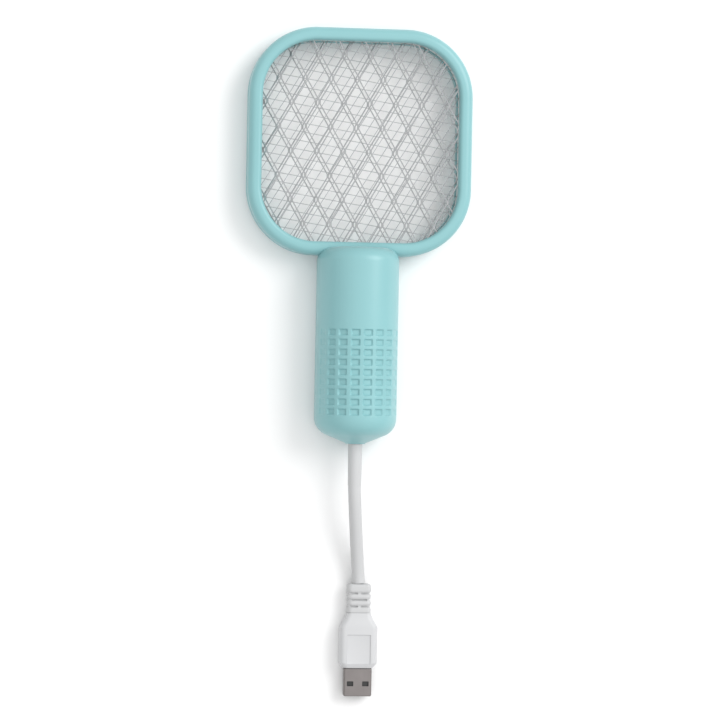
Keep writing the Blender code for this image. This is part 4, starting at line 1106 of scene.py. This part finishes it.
def light_lens():
    """The clear light pipe, with a low dome outside."""
    inside, outside = PIPE_LOW.x, PIPE_HIGH.x
    flange = (PIPE_HIGH.y - PIPE_LOW.y) / 2
    profile = [(0.3 * MM, inside), (flange, inside)]
    profile += [(flange, inside + PIPE_FLANGE), (PIPE_RADIUS, inside + PIPE_FLANGE)]
    for degrees in (0, 20, 40, 60, 80):
        angle = math.radians(degrees)
        x = outside - PIPE_DOME * (1 - math.sin(angle))
        profile.append((PIPE_RADIUS * math.cos(angle), x))
    lens = turned("light_lens", profile, (0, PIPE_Y, SLOT_Z), (1, 0, 0), sides=48)
    stand_for(lens, "clear_plastic", "light_pipe")


# ---------- strain relief and plug


def strain_relief():
    """The moulded sleeve on the lead, tapered towards the plug, with a soft end."""
    base, end = -RELIEF_HIGH.y, -RELIEF_LOW.y
    flange_radius = (RELIEF_HIGH.z - RELIEF_LOW.z) / 2
    flange_end = base + RELIEF_FLANGE
    end_radius = RELIEF_END_RADIUS
    profile = [(2.0 * MM, base), (flange_radius, base), (flange_radius, flange_end)]
    profile += [(RELIEF_RADIUS, flange_end), (RELIEF_RADIUS, -TIP_Y)]
    for share in (0.5, 0.97):
        profile.append((lerp(RELIEF_RADIUS, end_radius, share), lerp(-TIP_Y, end, share)))
    profile += [(end_radius - 0.08 * MM, end)]
    relief = turned("strain_relief", profile, (0, 0, AXIS_Z), (0, -1, 0), sides=64)
    return stand_for(relief, "lead_white", "lead_strain_relief")


def plug_ring(half_x, half_z, radius, y):
    """A cross-section of the plug at this place along it: a rectangle with round corners."""
    outline = round_cornered((PLUG_X, PLUG_Z), half_x, half_z, radius, ARC_STEPS)
    return [(x, y, z) for x, z in outline]


def round_slot(name, x_range, y, half, z_range):
    """A cutter for a slot with round ends."""
    outline = []
    for x, start in ((x_range[1] - half, -90), (x_range[0] + half, 90)):
        outline += arc((x, y), half, start, start + 180, 10)
    return loft(name, [[(*point, z) for point in outline] for z in z_range])


def plug_boot():
    """The flexible boot: rings that bulge, parted by staggered slots."""
    half_x = (BOOT_HIGH.x - BOOT_LOW.x) / 2
    half_z = (BOOT_HIGH.z - BOOT_LOW.z) / 2
    rings = []
    steps = 60
    for step in range(steps + 1):
        y = lerp(BOOT_HIGH.y, BOOT_LOW.y, step / steps)
        nearest = min(abs(y - slot_y) for slot_y, _ in BOOT_SLOTS)
        inset = BOOT_PINCH * math.exp(-((nearest / BOOT_PINCH_REACH) ** 2))
        into_end = max(0.0, BOOT_END_ROUND - (BOOT_HIGH.y - y))
        inset += 0.8 * (BOOT_END_ROUND - math.sqrt(BOOT_END_ROUND**2 - into_end**2))
        rings.append(plug_ring(half_x - inset, half_z - inset, BOOT_CORNER, y))
    boot = loft("cable_boot", rings)
    cuts = []
    for y, across in BOOT_SLOTS:
        for x0, x1 in across:
            for side in (-1, 1):
                z_range = sorted((PLUG_Z + side * BOOT_CORE_HALF, PLUG_Z + side * 2 * half_z))
                x_range = (PLUG_X + x0, PLUG_X + x1)
                cuts.append(round_slot("slot", x_range, y, BOOT_SLOT_HALF, z_range))
    cut(boot, *cuts)
    return stand_for(boot, "lead_white", "plug_boot")


def plug_sections():
    """Positions along the plug's body, and its half-width at each."""
    neck = smooth_points([(y, half, 0) for y, half in PLUG_NECK], 5)
    stations = [(point.x, point.y) for point in neck]
    stations.append((PLUG_SHOULDER_Y, (BODY_HIGH.x - BODY_LOW.x) / 2))
    stations.append((BODY_LOW.y, PLUG_END_HALF_WIDTH))
    return stations


def plug_body():
    """The moulded body: a neck that widens, soft edges, and a shallow panel on its face."""
    half_z = (BODY_HIGH.z - BODY_LOW.z) / 2
    boot_half_z = (BOOT_HIGH.z - BOOT_LOW.z) / 2
    full = (BODY_HIGH.x - BODY_LOW.x) / 2
    rings = []
    for y, half_x in plug_sections():
        share = smoothstep((half_x - PLUG_NECK[0][1]) / (full - PLUG_NECK[0][1]))
        height = lerp(boot_half_z, half_z, share)
        if y <= BODY_LOW.y + 0.01 * MM:
            height = half_z - 0.9 * MM
        rings.append(plug_ring(half_x, height, PLUG_EDGE, y))
    body = loft("plug_grip", rings)
    bevel(body, 0.45 * MM, 4, 25)
    panel_low = (PLUG_X - PANEL_HALF_WIDTH, PANEL_Y[0], PLUG_Z + half_z - PANEL_DEPTH)
    panel_high = (PLUG_X + PANEL_HALF_WIDTH, PANEL_Y[1], PLUG_Z + half_z + 2 * MM)
    panel = box("panel", panel_low, panel_high)
    bevel(panel, 0.35 * MM, 3)
    cut(body, panel)
    return stand_for(body, "white_plastic", "plug_body")


def plug_sleeve():
    """The folded sheet-metal sleeve: round corners, latch windows, and a seam beneath."""
    half_x = (SLEEVE_HIGH.x - SLEEVE_LOW.x) / 2
    half_z = (SLEEVE_HIGH.z - SLEEVE_LOW.z) / 2
    back, mouth = SLEEVE_HIGH.y, SLEEVE_LOW.y
    inner_back = back - 0.8 * MM
    corner = SLEEVE_CORNER
    rings = [plug_ring(half_x, half_z, corner, back)]
    for share in (1.0, 0.7, 0.4, 0.15, 0.0):
        y = mouth + MOUTH_LENGTH * share
        draw_in = MOUTH_DRAW * (1 - share) ** 2
        rings.append(plug_ring(half_x - draw_in, half_z - draw_in / 3, corner, y))
    inside = corner - SLEEVE_WALL
    for share in (0.0, 0.4, 1.0):
        y = mouth + MOUTH_LENGTH * share
        draw_in = SLEEVE_WALL + 0.3 * MM * (1 - share) ** 2
        rings.append(plug_ring(half_x - draw_in, half_z - SLEEVE_WALL - 0.05 * MM, inside, y))
    rings.append(plug_ring(half_x - SLEEVE_WALL, half_z - SLEEVE_WALL, inside, inner_back))
    sleeve = loft("plug_sleeve", rings)
    cuts = []
    for x in WINDOW_XS:
        low = (PLUG_X + x - WINDOW_HALF_WIDTH, WINDOW_Y[0], PLUG_Z - 2 * half_z)
        high = (PLUG_X + x + WINDOW_HALF_WIDTH, WINDOW_Y[1], PLUG_Z + 2 * half_z)
        window = box("window", low, high)
        bevel(window, 0.3 * MM, 3)
        cuts.append(window)
    seam_low = (PLUG_X - SEAM_HALF_WIDTH, mouth - OVERCUT, PLUG_Z - half_z - OVERCUT)
    seam_high = (PLUG_X + SEAM_HALF_WIDTH, back + OVERCUT, PLUG_Z - half_z + SEAM_DEPTH)
    cuts.append(box("seam", seam_low, seam_high))
    cut(sleeve, *cuts)
    return stand_for(sleeve, "plug_steel", "plug_shell")


def plug_contacts():
    """Four spring contacts, each a strip whose front end dips into the tongue."""
    contacts = []
    for i in range(1, CONTACTS + 1):
        node = f"plug_contact_{i}"
        low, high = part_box(node)
        rings = []
        for share in (0.0, 0.03, 0.08, 0.15, 0.3, 0.6, 0.9, 1.0):
            y = lerp(low.y, high.y, share)
            lift = 0.08 * MM * smoothstep(1 - share / 0.15)
            z0, z1 = low.z + lift, high.z
            inset = 0.1 * MM * smoothstep(1 - share / 0.05)
            x0, x1 = low.x + inset, high.x - inset
            edge = 0.05 * MM
            rings.append([
                (x0, y, z1), (x0, y, z0 + edge), (x0 + edge, y, z0),
                (x1 - edge, y, z0), (x1, y, z0 + edge), (x1, y, z1),
            ])
        contact = loft(f"contact_{i}", rings)
        contacts.append(stand_for(contact, "contact_gold", node))
    return contacts


def plug_tongue():
    """The insulating tongue behind the contacts, with soft edges."""
    low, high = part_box("plug_tongue")
    tongue = box("contact_tongue", low, high)
    bevel(tongue, 0.25 * MM, 3)
    return stand_for(tongue, "component_black", "plug_tongue")


# ---------- stage and lights


def floor():
    made = box("floor", (-2.0, -2.0, -0.02), (2.0, 2.0, 0.0))
    recipe = Recipe("floor", (0.93, 0.93, 0.93), roughness=0.85)
    recipe.colour(recipe.noise(3.0), (0.925, 0.925, 0.925), (0.935, 0.935, 0.935))
    made.data.materials.append(recipe.made)


def key_light():
    """One large soft light, high up on the right."""
    data = bpy.data.lights.new("key", "AREA")
    data.shape = "DISK"
    data.size = KEY_SIZE
    data.energy = KEY_POWER
    made = bpy.data.objects.new("key", data)
    place = Vector(KEY_PLACE)
    aim = (place - VIEW_AIM).to_track_quat("Z", "Y")
    made.matrix_world = Matrix.Translation(place) @ aim.to_matrix().to_4x4()
    bpy.context.scene.collection.objects.link(made)


def studio_world():
    """A white world that is brightest overhead."""
    world = bpy.data.worlds.new("studio")
    world.use_nodes = True
    nodes, links = world.node_tree.nodes, world.node_tree.links
    background = nodes["Background"]
    background.inputs["Color"].default_value = (1.0, 1.0, 1.0, 1.0)
    direction = nodes.new("ShaderNodeSeparateXYZ")
    links.new(nodes.new("ShaderNodeTexCoord").outputs["Generated"], direction.inputs["Vector"])
    steepness = nodes.new("ShaderNodeMath")
    steepness.operation = "ABSOLUTE"
    links.new(direction.outputs["Z"], steepness.inputs[0])
    strength = nodes.new("ShaderNodeMath")
    strength.operation = "MULTIPLY_ADD"
    strength.inputs[1].default_value = WORLD_RISE
    strength.inputs[2].default_value = WORLD_HORIZON
    links.new(steepness.outputs["Value"], strength.inputs[0])
    links.new(strength.outputs["Value"], background.inputs["Strength"])
    bpy.context.scene.world = world


# ---------- the scene


camera()
cord = power_cord()
finish_carried_nodes()
front_shell()
rear_shell()
guard("front_guard_mesh", "front_guard", Vector((0.0, 0.0)))
guard("rear_guard_mesh", "rear_guard", REAR_GUARD_SHIFT)
inner_grid()
spacers()
screws()
button()
knob()
light_lens()
on_the_lead = [strain_relief(), plug_boot(), plug_body(), plug_sleeve(), plug_tongue()]
on_the_lead += plug_contacts()
floor()
key_light()
studio_world()
bpy.context.scene.view_settings.view_transform = "Standard"
